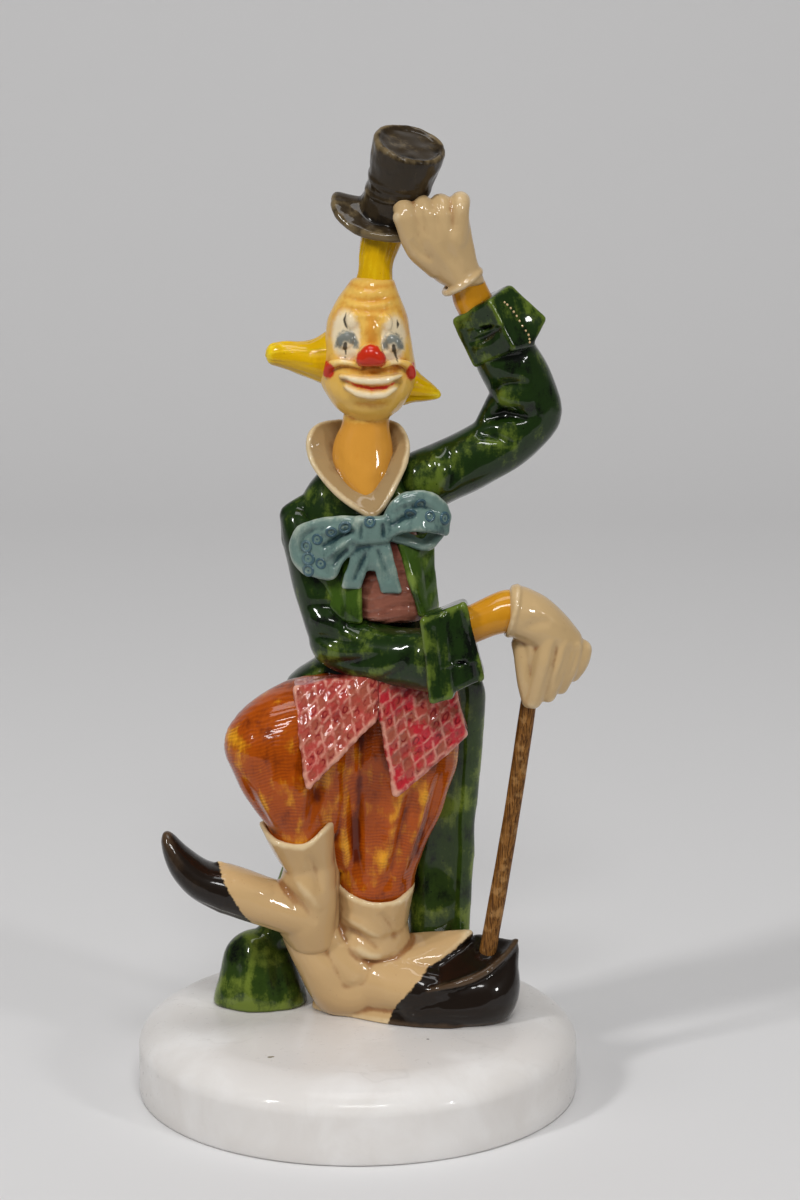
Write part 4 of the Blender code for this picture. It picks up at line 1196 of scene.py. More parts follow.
@dataclass
class TopHat(GlazedPiece):
    """A crumpled top hat: a flared crown with soft creases, on a brim that curls up at the sides."""

    seat: Point = (9.2, 3.5, 217.5)
    axis: Point = (0.24, -0.43, 0.87)
    crown_height: float = 20.2
    half_width: float = 15.0
    front_reach: float = 11.5
    back_reach: float = 10.5
    curl: float = 2.0
    front_dip: float = 1.2
    back_droop: float = 5.4
    tilt: float = 0.1

    def place(self, across: float, toward: float, along: float) -> Point:
        """A point in the hat's own frame: across to the right, toward the viewer, along its axis.

        Args:
            across: The distance to the right.
            toward: The distance to the viewer.
            along: The distance along the axis.

        Returns:
            The point.
        """
        axis = Vector(self.axis).normalized()
        right = Vector((0, -1, 0)).cross(axis).normalized() * -1
        front = axis.cross(right) * -1
        return tuple(Vector(self.seat) + right * across + front * toward + axis * along)

    def ring(self, radius: float, along: float, slant: float = 0, count: int = 28) -> list[Point]:
        """Points around the crown at one height, tilted a little by slant.

        Args:
            radius: The ring's radius.
            along: The distance along the axis.
            slant: How far the ring rises on one side.
            count: How many points it has.

        Returns:
            The points.
        """
        angles = [2 * math.pi * i / count for i in range(count)]
        turns = [(math.cos(a), math.sin(a)) for a in angles]
        return [self.place(radius * x, radius * y, along + slant * x) for x, y in turns]

    def crown(self) -> list[Hull]:
        """The flared crown, its creases and the soft rim of its dished top.

        Returns:
            The hulls.
        """
        profile = ((0, 8.6), (0.12, 7.9), (0.35, 7.5), (0.55, 7.9), (0.8, 8.7), (0.975, 9))
        rings = [
            [bead(p, 0.6) for p in self.ring(radius, self.crown_height * share)] for share, radius in profile
        ]
        hulls = [a + b for a, b in zip(rings, rings[1:])]
        for share, thick, slant in ((0.36, 0.7, 1.8), (0.47, 0.6, 0.4), (0.57, 0.65, 1.6), (0.7, 0.6, 0.9)):
            hulls += hoop(self.ring(7.35 + 1.4 * share, self.crown_height * share, slant), thick)
        return hulls + hoop(self.ring(8.6, self.crown_height - 0.15), 1.05)

    def brim(self) -> list[Hull]:
        """An oval saddle that curls up at both sides, dips in front and droops behind.

        Returns:
            The hulls.
        """
        hub = bead(self.place(0, 0, 0), 2.4)
        rim = []
        for step in range(36):
            across, toward = math.cos(math.pi * step / 18), math.sin(math.pi * step / 18)
            reach, drop = (
                (self.front_reach, self.front_dip) if toward > 0 else (self.back_reach, self.back_droop)
            )
            level = self.place(0, toward * reach, self.curl * across**4 - drop * toward**2)
            out = across * self.half_width
            rim.append(bead(add(level, out, 0, -out * self.tilt), 1.25))
        return [[hub, a, b] for a, b in zip(rim, rim[1:] + rim[:1])]

    def clay(self) -> list[Hull]:
        """Crown and brim."""
        return self.crown() + self.brim()


@dataclass
class Hair(GlazedPiece):
    """A tuft that rises to the hat, a long swept tuft on one side and a short point on the other."""

    ridge: float = 0.2
    # The three tufts
    parts: Parts = (
        limb(
            (4.6, 0.5, 196, 5.4, 5, 3), (5.1, 0.8, 203, 4.6, 4.2, 3), (6.1, 1.4, 208.5, 5.1, 4.8, 3),
            (7.9, 2.2, 214, 6.4, 6.2, 3),
        ),
        limb(
            (-4, 2.2, 179.4, 5, 7, 9.4), (-7.8, 2.4, 179, 3.4, 6.4, 7.2), (-11.6, 2.5, 178.9, 3, 5.4, 5.2),
            (-15.4, 2.6, 179.5, 2.7, 4.6, 4.2), (-18.8, 2.6, 180.1, 2.5, 4, 3.6),
            (-21.6, 2.6, 180.4, 2.2, 3.3, 3),
        ),
        limb(
            (10.6, 2.2, 173.6, 4, 6.4, 7.4), (15.2, 2.4, 172, 2.7, 4.6, 4.5),
            (18.6, 2.4, 170.6, 2.1, 3.1, 2.7), (21.2, 2.4, 169.6, 1.1, 1.5, 1.1),
        ),
    )

    def carving(self, surface: Surface) -> np.ndarray:
        """Combed strands along each tuft, wavering a little.

        Args:
            surface: The form's corners.

        Returns:
            A number for each corner.
        """
        x, y, z = surface.points.T
        around_top = np.arctan2(x - 5.2 - 0.16 * (z - 203), -(y - 1)) * 1.3
        around_side = np.arctan2(z - 179.6 + 0.4 * np.maximum(x, 0), -(y - 2.4)) * 1.1
        top = noise_lines(around_top, z * 0.6, 1)
        side = noise_lines(around_side, x * 0.6, 2.4)
        strands = np.where(z > 193, top, side)
        return self.ridge * strands * (0.7 + 0.5 * kneaded(surface.points, 4, 8))


@dataclass
class Head(GlazedPiece):
    """The pear-shaped head with its raised features, its neck and the bare chest in the collar."""

    lids: tuple[Point, ...] = ((-2.3, -8.1, 185.2), (9.5, -7.9, 184.5))
    # Rolls across the forehead, a ridge between the eyes and the hollows round them
    strokes: Strokes = (
        (0.4, (-1, 197.8, 0.6), (3.4, 197, 0.9), (8.2, 197.8, 0.6)),
        (-0.35, (-2, 195.6, 0.5), (4.2, 195.2, 0.7), (9.4, 196.2, 0.5)),
        (0.45, (-2.8, 194.4, 0.6), (3.2, 193.8, 0.9), (9.8, 194.8, 0.6)),
        (0.35, (-1, 191.8, 0.5), (4, 191.4, 0.9), (8.6, 191.6, 0.5)),
        (0.6, (4.2, 191, 0.9), (4.1, 188, 1.3), (4.1, 184.6, 1)),
        (-0.5, (0.6, 190, 0.7), (0.9, 186.6, 0.9), (0.6, 182.4, 0.7)),
        (-0.5, (7.6, 189.6, 0.7), (7.2, 186.4, 0.9), (7.6, 182.2, 0.7)),
        (-0.4, (-5.4, 181.4, 0.7), (-2.2, 180.8, 0.9), (0.4, 181.4, 0.7)),
        (-0.4, (7.6, 181.2, 0.7), (10, 180.6, 0.9), (13, 181.2, 0.7)),
        (-0.4, (-3.6, 168.8, 1), (4, 168.2, 1.4), (11, 168.8, 1)),
    )
    flank: float = 0

    def skull(self) -> list[Hull]:
        """Head, neck and chest.

        Returns:
            The hulls.
        """
        outline = (
            (199.5, 4.3, 5.9, 5.4), (195, 3.5, 8.4, 7.4), (190.5, 3.2, 10.4, 9), (185.4, 3.1, 11.3, 9.8),
            (180, 3.2, 12.1, 10.6), (174.4, 3.2, 12.7, 11.2), (170.4, 3.2, 11.4, 10.8),
            (166.9, 3.4, 8.8, 9), (164.6, 3.6, 5.8, 6.2),
        )
        skull = limb(*(bead((x, 0.5, z), wide, deep, 1.7) for z, x, wide, deep in outline), steps=4)
        neck = limb(
            (3, 1.4, 167, 5.8, 5.4, 5.8), (2.3, 0.8, 160, 6.6, 5.8, 6.6), (1.7, 0, 153.8, 8.2, 6.2, 8.2),
            (2.1, -1.6, 149, 7, 6, 7), (2.7, -4, 144.8, 4.2, 4.2, 4.2),
        )
        return skull + neck

    def nose(self) -> list[Hull]:
        """A rounded nose, wide at its foot.

        Returns:
            The hulls.
        """
        return [
            [
                (4, -12.2, 182.2, 3.3, 3.1, 2.7), (2.1, -12, 180.8, 2.1, 2.6, 1.9),
                (6, -12, 180.8, 2.1, 2.6, 1.9),
            ]
        ]

    def eyes(self) -> list[Hull]:
        """The lids' domes, and the small upright ovals above them.

        Returns:
            The hulls.
        """
        hulls = []
        for side, lid in zip((1, -1), self.lids):
            hulls.append([bead(lid, 2.6, 1.5, 2.5)])
            hulls.append([bead(add(lid, side * 1.7, 0.4, 5), 1.9, 1.3, 2.6)])
        return hulls

    def cheeks(self) -> list[Hull]:
        """The roll from the nose over each cheek, and the fullness round the mouth.

        Returns:
            The hulls.
        """
        hulls = []
        for side in (-1, 1):
            middle = 3.4 if side < 0 else 3.8
            hulls += limb(
                bead((4 + side * 3, -10.8, 178.9), 0.8),
                bead((middle + side * 6.8, -9.7, 179.7), 0.8),
                bead((middle + side * 10, -7, 178.4), 1.2),
                bead((middle + side * 10.8, -5.2, 175.8), 1.2),
            )
        return hulls + [[(4, -6.6, 174.6, 8.4, 4.8, 4.2)]]

    def mouth(self) -> list[Hull]:
        """Upper and lower lip, parted in a smile.

        Returns:
            The hulls.
        """
        upper = ((-3.8, -9, 176), (0, -11, 175.3), (4.1, -11.7, 175), (8.2, -11, 175.3), (11.8, -8.8, 176.2))
        lower = (
            (-2.8, -9.6, 173.4), (0.2, -11.1, 171.9), (4, -11.6, 171.3), (7.8, -11, 171.6),
            (10.6, -9.2, 173.2),
        )
        thick = (0.6, 1.05, 1.15, 1.05, 0.6)
        hulls = []
        for lip in (upper, lower):
            hulls += limb(*(bead(p, t) for p, t in zip(lip, thick)))
        return hulls

    def clay(self) -> list[Hull]:
        """Skull, neck and features."""
        return self.skull() + self.nose() + self.eyes() + self.cheeks() + self.mouth()

    def painting(self, surface: Surface) -> dict[str, np.ndarray]:
        """The painted shapes, cut off where the surface turns away from the front.

        Args:
            surface: The form's corners.

        Returns:
            The attributes, by name.
        """
        points = surface.points
        behind = np.where(points[:, 1] > -1, 3, 0)
        white = np.minimum(
            oval_distance(points, -2.5, 186.4, 3.7, 6.2), oval_distance(points, 9.9, 185.4, 3.1, 5.8)
        )
        upper, _ = line_distance(
            points,
            [(-3.4, 175.8, 0.7), (0, 175.3, 1.2), (4.2, 174.9, 1.3), (8.2, 175.2, 1.2), (11.4, 176, 0.7)],
        )
        lower, _ = line_distance(
            points,
            [(-2.4, 173.2, 0.8), (0.4, 171.8, 1.2), (4.1, 171.1, 1.3), (7.6, 171.5, 1.2), (10.2, 172.9, 0.8)],
        )
        lid = np.full(len(points), 9)
        for (x, z), (wide, tall) in (((-2.2, 183.7), (3, 4.1)), ((9.6, 183.1), (2.8, 4))):
            dome = oval_distance(points, x, z, wide, tall)
            inner = oval_distance(points, x + 0.1, z - 1.3, wide * 0.55, tall * 0.62)
            lid = np.minimum(lid, np.maximum(np.maximum(dome, -inner), z - 0.4 - points[:, 2]))
        strokes = np.full(len(points), 9)
        for line in (
            [(-2.4, 192.2, 0.1), (-2.9, 190.2, 0.3), (-2.4, 188.8, 0.3), (-2, 188, 0.1)],
            [(-2.6, 184.4, 0.5), (-2.7, 183.2, 0.62)],
            [(-2.6, 183.4, 0.28), (-2.5, 181.6, 0.12)],
            [(-2.7, 180.7, 0.2), (-2.7, 180.6, 0.2)],
            [(10.8, 190.2, 0.1), (11, 189.1, 0.34), (10.8, 188.2, 0.1)],
            [(9.9, 183.9, 0.45), (10, 182.6, 0.6)],
            [(10.1, 182.4, 0.4), (10.5, 180.8, 0.3), (11, 179.8, 0.08)],
        ):
            stroke, _ = line_distance(points, line)
            strokes = np.minimum(strokes, stroke)
        nose, _ = line_distance(
            points, [(2.3, 180.7, 2.25), (4.1, 182.3, 2.5), (6, 180.7, 2.25), (2.3, 180.7, 2.25)]
        )
        smile, _ = line_distance(
            points,
            [(-2.4, 175, 0.1), (0.6, 173.7, 0.45), (4.2, 173, 0.5), (7.8, 173.3, 0.45), (10, 174.2, 0.15)],
        )
        red = np.minimum(np.where(points[:, 1] < -10.6, nose, 3), smile)
        red = np.minimum(red, oval_distance(points, -7.2, 177.2, 1.7, 2.2))
        red = np.minimum(red, oval_distance(points, 14.6, 176.6, 1.4, 2.2))
        # Painted shade: small brown ovals in the corners of the mouth
        corner = np.minimum(
            oval_distance(points, -3, 174.9, 1, 0.7), oval_distance(points, 10.8, 174.4, 1, 0.7)
        )
        blush, _ = line_distance(points, [(4.2, 191, 1.2), (4.2, 186.6, 1.6), (4.2, 184.6, 1.4)])
        for z in (198.4, 195.3, 192.7):
            line, _ = line_distance(points, [(-2.6, z + 0.9, 0.3), (4, z, 0.6), (10.4, z + 0.6, 0.3)])
            blush = np.minimum(blush, line)
        brow, _ = line_distance(points, [(-6.6, 186, 0.3), (-5.6, 191, 0.5), (-3, 194.4, 0.3)])
        temple, _ = line_distance(points, [(13.6, 186, 0.3), (12.8, 190.6, 0.5), (10.6, 193.6, 0.3)])
        fold, _ = line_distance(
            points,
            [(-4.6, 178.6, 0.4), (0, 177.8, 0.4), (4.1, 177, 0.5), (8.4, 177.8, 0.4), (12.6, 178.6, 0.4)],
        )
        chin, _ = line_distance(points, [(0.4, 168.8, 0.3), (4, 168.4, 0.6), (7.6, 168.8, 0.3)])
        throat = points[:, 2] - 163.4
        blush = np.minimum.reduce([blush, brow, temple, fold, chin, throat])
        return {
            Paint.WHITE.value: np.minimum(white, np.minimum(upper, lower) + 0.4) + behind,
            Paint.LID.value: lid + behind,
            Paint.STROKE.value: strokes + behind,
            Paint.RED.value: red + behind,
            Paint.CORNER_SHADE.value: corner + behind,
            Paint.BLUSH.value: blush,
        }


@dataclass
class Wrists(GlazedPiece):
    """Bare wrists between the cuffs and the gloves."""

    # The raised wrist and the resting one
    parts: Parts = (
        limb((35, 0.5, 188, 4.8), (31, 0, 194, 5.1), (28.6, -1.6, 200, 4.6)),
        limb((27, -18.5, 110.5, 5), (34.5, -18.2, 114, 5.2), (40, -17.2, 115.4, 5.6)),
    )


@dataclass
class Collar(GlazedPiece):
    """A wide collar that stands away from the neck: wings at the sides and a deep point in front."""

    def clay(self) -> list[Hull]:
        """A thin band between an outer and an inner line, with a softly rolled outer edge.

        Returns:
            The hulls.
        """
        outer = [
            (-4.6, 8.2, 161.4), (-9.8, 4, 161), (-12.2, 0, 158.4), (-11.8, -2, 153.4),
            (-8.4, -5.4, 148.4), (-3.6, -8.4, 144), (0.8, -10.6, 141.2), (3.9, -11.4, 139.8),
            (6.8, -10.6, 141.6), (10.2, -7.8, 147.2), (12.9, -3.6, 153), (13.2, 0.4, 157.4),
            (10.8, 4.4, 161), (5.4, 8.2, 161.4),
        ]
        inner = [
            (-2.6, 6.4, 156), (-5, 3.4, 155.4), (-6.2, 1.6, 154.4), (-5.8, -0.8, 152),
            (-3.4, -3.4, 148.6), (-0.8, -5.8, 145.6), (1, -7.4, 144.2), (2.5, -8.4, 143.6),
            (4.2, -7.4, 144.4), (6.2, -5, 147.6), (8, -2.6, 151.6), (8.8, 1.4, 154.6),
            (7.8, 3.4, 155.4), (4.6, 6.4, 156),
        ]
        line = smooth_string([*outer, outer[0]], 3)
        return sheet([*outer, outer[0]], [*inner, inner[0]], 0.85, steps=3) + hoop(line[:-1], 0.95)


@dataclass
class CoatBody(GlazedPiece):
    """The coat's chest, waist and shoulders, with the edge over the raised hip."""

    # Trunk and skirt
    parts: Parts = (
        limb(
            (3, 2.5, 153, 7, 6.4, 3), (1.2, 2.5, 145.5, 14, 8.6, 3), (1.2, 2.5, 136, 18, 9.8, 3),
            (3.6, 2.5, 125, 16.2, 10, 3), (6, 2.5, 113, 14.4, 10, 3), (6, 2.5, 101, 14.8, 10.4, 3),
            (6, 2.8, 91, 18, 11.6, 3),
        ),
        limb((-5.4, 4, 98, 3.4, 7, 2.8), (-14.6, 3, 91.6, 4.2, 8, 2.8), (-12.6, 5, 82, 6, 7, 3)),
    )
    # Folds that run down from the shoulders, and the lapels' edges
    strokes: Strokes = (
        (-0.5, (-9.6, 147, 1), (-6, 141, 1.4), (-4, 136, 1)),
        (0.5, (9.6, 147, 1), (13, 141, 1.4), (16, 136, 1)),
    )


@dataclass
class CoatFronts(GlazedPiece):
    """The coat's two open fronts beside the waistcoat, where the green runs light."""

    # The far front and the near one
    parts: Parts = (
        sheet(
            [(11.8, -10.4, 132), (15, -11.4, 121.5), (17.4, -11, 113.5)],
            [(19.6, -4.4, 133), (19.8, -5, 124), (20.8, -4.6, 114)],
            1.2,
        ),
        sheet(
            [(0, -10.4, 134), (0.2, -11.8, 124), (0.8, -12.2, 112)],
            [(-8, -7, 134), (-10, -8, 124), (-8, -8, 112)],
            1.2,
        ),
    )
    # A soft hollow behind each edge
    strokes: Strokes = (
        (-0.5, (-3, 132, 0.8), (-4.6, 122, 1.2), (-3, 112, 0.8)),
        (-0.5, (17.4, 130, 0.8), (18.6, 122, 1), (19.6, 114, 0.8)),
    )


@dataclass
class BentSleeve(GlazedPiece):
    """The bent arm across the belly: a narrow sleeve, creased at the elbow."""

    # Sleeve and shoulder cap
    parts: Parts = (
        limb(
            (-15.4, 1.5, 136, 5, 6, 4.6), (-12.6, 0, 130, 6.8, 7.2, 6.4), (-9.2, -3, 117.5, 7.2, 7.6, 6.8),
            (-5, -5, 107, 7.8, 8, 7.6), (-3.4, -5.8, 104.6, 8.2, 8, 8), (8, -12.5, 102.7, 7.6, 7.6, 7.8),
            (19, -18, 102.4, 7.4, 7.4, 8.4),
        ),
        slab(
            [(-17.4, 1.5, 137.4), (-16.8, 0.5, 131), (-10, 1.5, 142.2), (-4, 1.5, 144.6), (-9, 2, 130)],
            3.2,
        ),
    )
    # Creases gathered at the elbow, and long ones down the upper arm
    strokes: Strokes = (
        (-0.9, (-13.6, 115, 1), (-7, 115.4, 1.5), (-1, 111.4, 1)),
        (0.8, (-12.6, 111.6, 1.2), (-6.6, 111, 1.9), (0.6, 108.4, 1.1)),
        (-1, (-11.6, 107.4, 1), (-5.4, 106.6, 1.5), (2.4, 106, 0.9)),
        (-0.9, (-8.6, 100, 1), (-1, 101.4, 1.5), (7, 104.6, 0.9)),
        (0.7, (-4, 97, 1.1), (5, 99.4, 1.8), (13, 103.6, 1.1)),
        (-0.8, (7, 97, 1), (12, 101.6, 1.5), (14.6, 107, 0.9)),
        (-0.7, (-15.6, 130, 1.2), (-11.4, 124, 1.7), (-9, 117.6, 1.1)),
    )
    flank: float = 0.5


@dataclass
class RaisedSleeve(GlazedPiece):
    """The raised arm's sleeve, with folds gathered inside the elbow."""

    # Upper arm and bend
    parts: Parts = (
        limb(
            (17.8, 3, 146.4, 7.8, 7.6, 8.6), (27, 3.6, 150.6, 8.1), (37.4, 4.6, 156.2, 8.2),
            (44.4, 5, 161.6, 8.3, 7.8, 7.9),
        ),
        limb(
            (44.4, 5, 161.6, 8.3, 7.8, 7.9), (47, 5, 164.9, 7.6), (43.2, 4.2, 173, 8.6),
            (38.9, 2.2, 181, 8.3, 8, 7.4), (37.8, 1.2, 187, 7.2),
        ),
        limb((38.6, 4.4, 167, 4.4), (34.4, 4, 159.6, 4)),
    )
    # Folds that fan out from the inside of the elbow, and a crease below the shoulder
    strokes: Strokes = (
        (-1.2, (35, 170.6, 1.1), (40, 173, 1.6), (46, 173, 1)),
        (0.9, (34, 166.6, 1.2), (39.6, 168.6, 2.2), (47, 168.4, 1.2)),
        (-1.3, (34, 163.4, 1), (39.4, 164.8, 1.5), (46, 163.6, 0.9)),
        (-1, (31.4, 159.4, 0.9), (36, 159.6, 1.3), (42, 156.6, 0.8)),
        (-0.8, (34.6, 178.6, 1), (39.4, 180.4, 1.4), (45, 180.6, 0.9)),
        (0.8, (19.4, 156, 1.1), (21.8, 150.6, 1.8), (20.8, 144, 1.1)),
        (-1, (23.4, 157, 1), (25.6, 151, 1.4), (24.4, 145, 0.9)),
    )
    flank: float = 0.5


@dataclass
class RaisedCuff(GlazedPiece):
    """The raised arm's turned-back cuff: a boxy flare with a sharp front edge and a corner standing out."""

    # The flare, its corner and the front edge
    parts: Parts = (
        slab(
            [
                (26.4, -1, 189.4), (35, -7.8, 194.8), (40.2, -1, 197.6), (34, 6.8, 194),
                (31.6, -1.6, 178.4), (40.6, -8, 183.6), (45.8, -4, 184), (41, 7.6, 182.6),
            ],
            1.2,
        ),
        slab(
            [
                (35, -7.2, 194.6), (40.2, -1, 197.6), (48.6, -1, 189.8), (45.4, -4.6, 184.4),
                (40.6, -7.4, 184.2), (46, 6, 188), (36, 6.4, 195),
            ],
            1.2,
        ),
        slab([(35, -8.4, 194.8), (40.6, -8.7, 183.6)], 0.9),
    )
    # The buttonhole's ring, its hollow, and a shallow dish in each face
    strokes: Strokes = (
        (0.6, (33.6, 188.8, 2.8), (33.8, 188.2, 3), (34, 187.6, 2.8)),
        (-2.6, (33.6, 188.8, 1.5), (33.8, 188.2, 1.7), (34, 187.6, 1.5)),
        (-0.7, (29.4, 183.8, 0.7), (33.6, 185.6, 1), (38.6, 189.4, 0.7)),
        (0.4, (30.6, 181.6, 1), (34.6, 183.4, 1.4), (39, 186.6, 1)),
        (-0.5, (41.6, 192.6, 1.4), (43.6, 190, 2), (45, 187.6, 1.4)),
    )


@dataclass
class BentCuff(GlazedPiece):
    """The lower arm's deep cuff, in two layers, with one round button."""

    # The button's rim and hollow, and brushed dents down the cuff
    strokes: Strokes = (
        (0.9, (27.3, 104, 2.6), (27.4, 103.4, 2.8), (27.5, 102.8, 2.6)),
        (-2.6, (27.3, 104, 1.3), (27.4, 103.4, 1.5), (27.5, 102.8, 1.3)),
        (-0.6, (20.2, 113.6, 0.6), (21, 105, 0.9), (22, 96, 0.6)),
        (-0.4, (28.6, 114.6, 0.8), (29.6, 109, 1.1), (30.6, 105, 0.8)),
    )

    def clay(self) -> list[Hull]:
        """Body, and the turned band down its near edge.

        Returns:
            The hulls.
        """
        fronts = [(18.4, -25, 114.6), (27.6, -24.8, 118), (32, -24.4, 99.6), (20.2, -25.4, 94.4)]
        body = slab(fronts + [add(p, 0.6, 12.5, -1.5) for p in fronts], 1.2)
        band_front = [(17.8, -25.8, 114.2), (22.4, -25.8, 115.8), (24.4, -26.2, 94.8), (20, -26.2, 93.6)]
        turned = slab(band_front + [add(p, 0.6, 4, 0) for p in band_front], 1.1)
        return body + turned + slab([(27.8, -25.4, 118.4), (32.4, -25, 99.4)], 1.15)


@dataclass
class CoatTails(GlazedPiece):
    """The coat's two long tails: one hangs to the shoe, the other sweeps to the ground in a round end."""

    # The straight tail, the swept one and its round end, and the clay that joins them to the legs
    parts: Parts = (
        limb(
            (15, 4, 104, 6, 8, 3), (23.2, 6.6, 91, 10.8, 7, 3), (24.4, 8.6, 75, 9.9, 6, 3),
            (23.4, 9, 55, 9.4, 5.4, 3), (22.6, 8.6, 37, 9.2, 5.2, 3), (22.2, 6.8, 21, 8.7, 4.6, 3),
            (22, 3.8, 14, 8.4, 4.4, 3),
        ),
        limb(
            (2, 4.6, 104, 10, 7.6, 3), (-2.6, 7.6, 90, 12, 6.6, 3), (-5, 10, 74, 10.6, 5.6, 3),
            (-8.4, 10.8, 54, 9, 5.2, 3), (-14, 10.6, 34, 8.4, 5.4, 3), (-20, 10, 18, 8.4, 6.4, 3),
        ),
        limb((-27.2, 8, 0, 13, 10, 12), (-27.6, 8.2, 9, 10.4, 8.6, 11.4)),
        limb((12, 9, 88, 8, 6, 4), (8, 9, 70, 8, 5, 4), (6, 7, 50, 9, 5, 4), (5, 5, 34, 8, 4, 4)),
    )
    # Long soft folds down the tails, and flattened faces on the round end
    strokes: Strokes = (
        (-0.5, (21, 88, 2.6), (22, 60, 3.6), (20, 24, 2.6)),
        (-0.9, (-33, 18, 2), (-34.4, 9, 2.6), (-36, -2, 2)),
        (0.6, (-29, 20, 1.6), (-29.4, 10, 2.2), (-29.6, -2, 1.6)),
        (-0.9, (-23, 18, 1.6), (-22, 10, 2.2), (-21.6, -2, 1.6)),
    )


@dataclass
class HatGlove(GlazedPiece):
    """The hand that lifts the hat: fingers over the brim and a thumb below it."""

    # Grooves between the fingers, that fade into the back of the hand, and one dart down to the hem
    strokes: Strokes = (
        (-0.5, (16.6, 221.4, 0.8), (17.2, 216.6, 1), (18.4, 211.6, 0.9)),
        (-0.5, (21, 222.2, 0.8), (21.2, 217, 1), (21.8, 210.6, 0.9)),
        (-0.5, (25.2, 223, 0.8), (25, 217.4, 1), (25, 211, 0.9)),
        (-0.6, (14.4, 211.6, 0.9), (16.8, 208, 1.1), (20, 205.6, 0.9)),
        (0.5, (24.8, 214, 0.9), (26.6, 208, 1.3), (28.6, 202.4, 0.9)),
        (0.4, (18.8, 212, 0.8), (22, 207, 1.2), (25.6, 202.4, 0.8)),
    )

    def clay(self) -> list[Hull]:
        """Gauntlet, palm, four fingers and the thumb.

        Returns:
            The hulls.
        """
        hem = band((27.8, -1.8, 199.8), (-0.53, -0.1, 0.84), 5.3, 1)
        palm = limb(
            (27.7, -1.8, 199.8, 6, 5.6, 1.6), (26, -2.2, 202, 6.9, 5.6, 2.2),
            (23, -3.2, 206.4, 8.4, 5.2, 2.2), (21, -4.6, 212, 9.2, 5.2, 2.2),
            (20, -5.2, 217.6, 9.4, 4.8, 2.2),
        )
        fingers = []
        for i in range(4):
            share = i / 3
            x = 13.4 + 13.2 * share
            lean = -1 + 1.4 * share
            z = 218.2 + 1.4 * share
            fingers += limb(
                bead((x + 2.2 - 2.2 * share, -6, z - 9), 2.7),
                bead((x, -7.6 + share, z - 1.4), 2.9),
                bead((x + lean, -5.4 + share, z + 0.9), 2.8),
                bead((x + lean * 1.4, -1, z + 0.1), 2.4),
            )
        thumb = limb(
            (20.6, -4.4, 203.4, 2.6), (15.8, -6.4, 208.6, 2.9), (12, -8.4, 216.8, 2.3),
        )
        return hem + palm + fingers + thumb


@dataclass
class CaneGlove(GlazedPiece):
    """The hand that leans on the cane: a bent wrist with the fingers closed downwards."""

    # Soft grooves between the fingers and a dent over the wrist
    strokes: Strokes = (
        (-0.5, (52.4, 108.6, 0.7), (51, 101, 0.9), (48.6, 93, 0.7)),
        (-0.5, (55.8, 107.6, 0.7), (54.4, 101.4, 0.9), (52.2, 95, 0.7)),
        (-0.5, (58.4, 106.4, 0.7), (57.2, 101.4, 0.8), (55.6, 96.6, 0.7)),
        (-0.5, (43.4, 111.6, 1), (47, 113, 1.6), (51, 113.4, 1)),
        (0.4, (46, 118.6, 0.8), (50.6, 114, 1), (55, 110.4, 0.8)),
    )
    flank: float = 0.4

    def clay(self) -> list[Hull]:
        """Gauntlet, back, heel, four fingers and the thumb.

        Returns:
            The hulls.
        """
        hem = band((40.9, -17, 115.4), (0.975, 0.05, -0.2), 6.3, 1)
        back = limb(
            (41, -17, 115.3, 1.6, 6.7, 7), (44, -16.4, 114.2, 2.8, 6.7, 7.4),
            (48.6, -15.4, 111.6, 3.4, 6.5, 7.6), (53, -14.2, 108.2, 3.6, 5.9, 6.6),
            (57.4, -13, 105.2, 2.4, 4.2, 4.4),
        )
        heel = limb(
            (46, -14.6, 109, 3.6, 5, 4), (47, -14, 99, 3.3, 4.7, 3), (47, -13.8, 93, 2.7, 3.7, 2.4),
        )
        knuckles = ((50.2, -18.6, 107.4), (53.8, -17.2, 106.4), (56.8, -15, 105.4), (59.4, -12.4, 104))
        tips = ((46.6, -16.6, 91.2), (50.4, -15.7, 92.8), (53.8, -14.2, 94.6), (57, -12.2, 97.4))
        fingers = []
        for knuckle, tip in zip(knuckles, tips):
            middle = add(between(knuckle, tip, 0.5), 0.3, -1, 0)
            fingers += limb(bead(knuckle, 2.8), bead(middle, 2.7), bead(tip, 2.3))
        thumb = limb(
            (43.8, -15, 106, 3.1), (45, -15.6, 97, 2.9), (45.8, -15.4, 91, 2.3),
        )
        return hem + back + heel + fingers + thumb


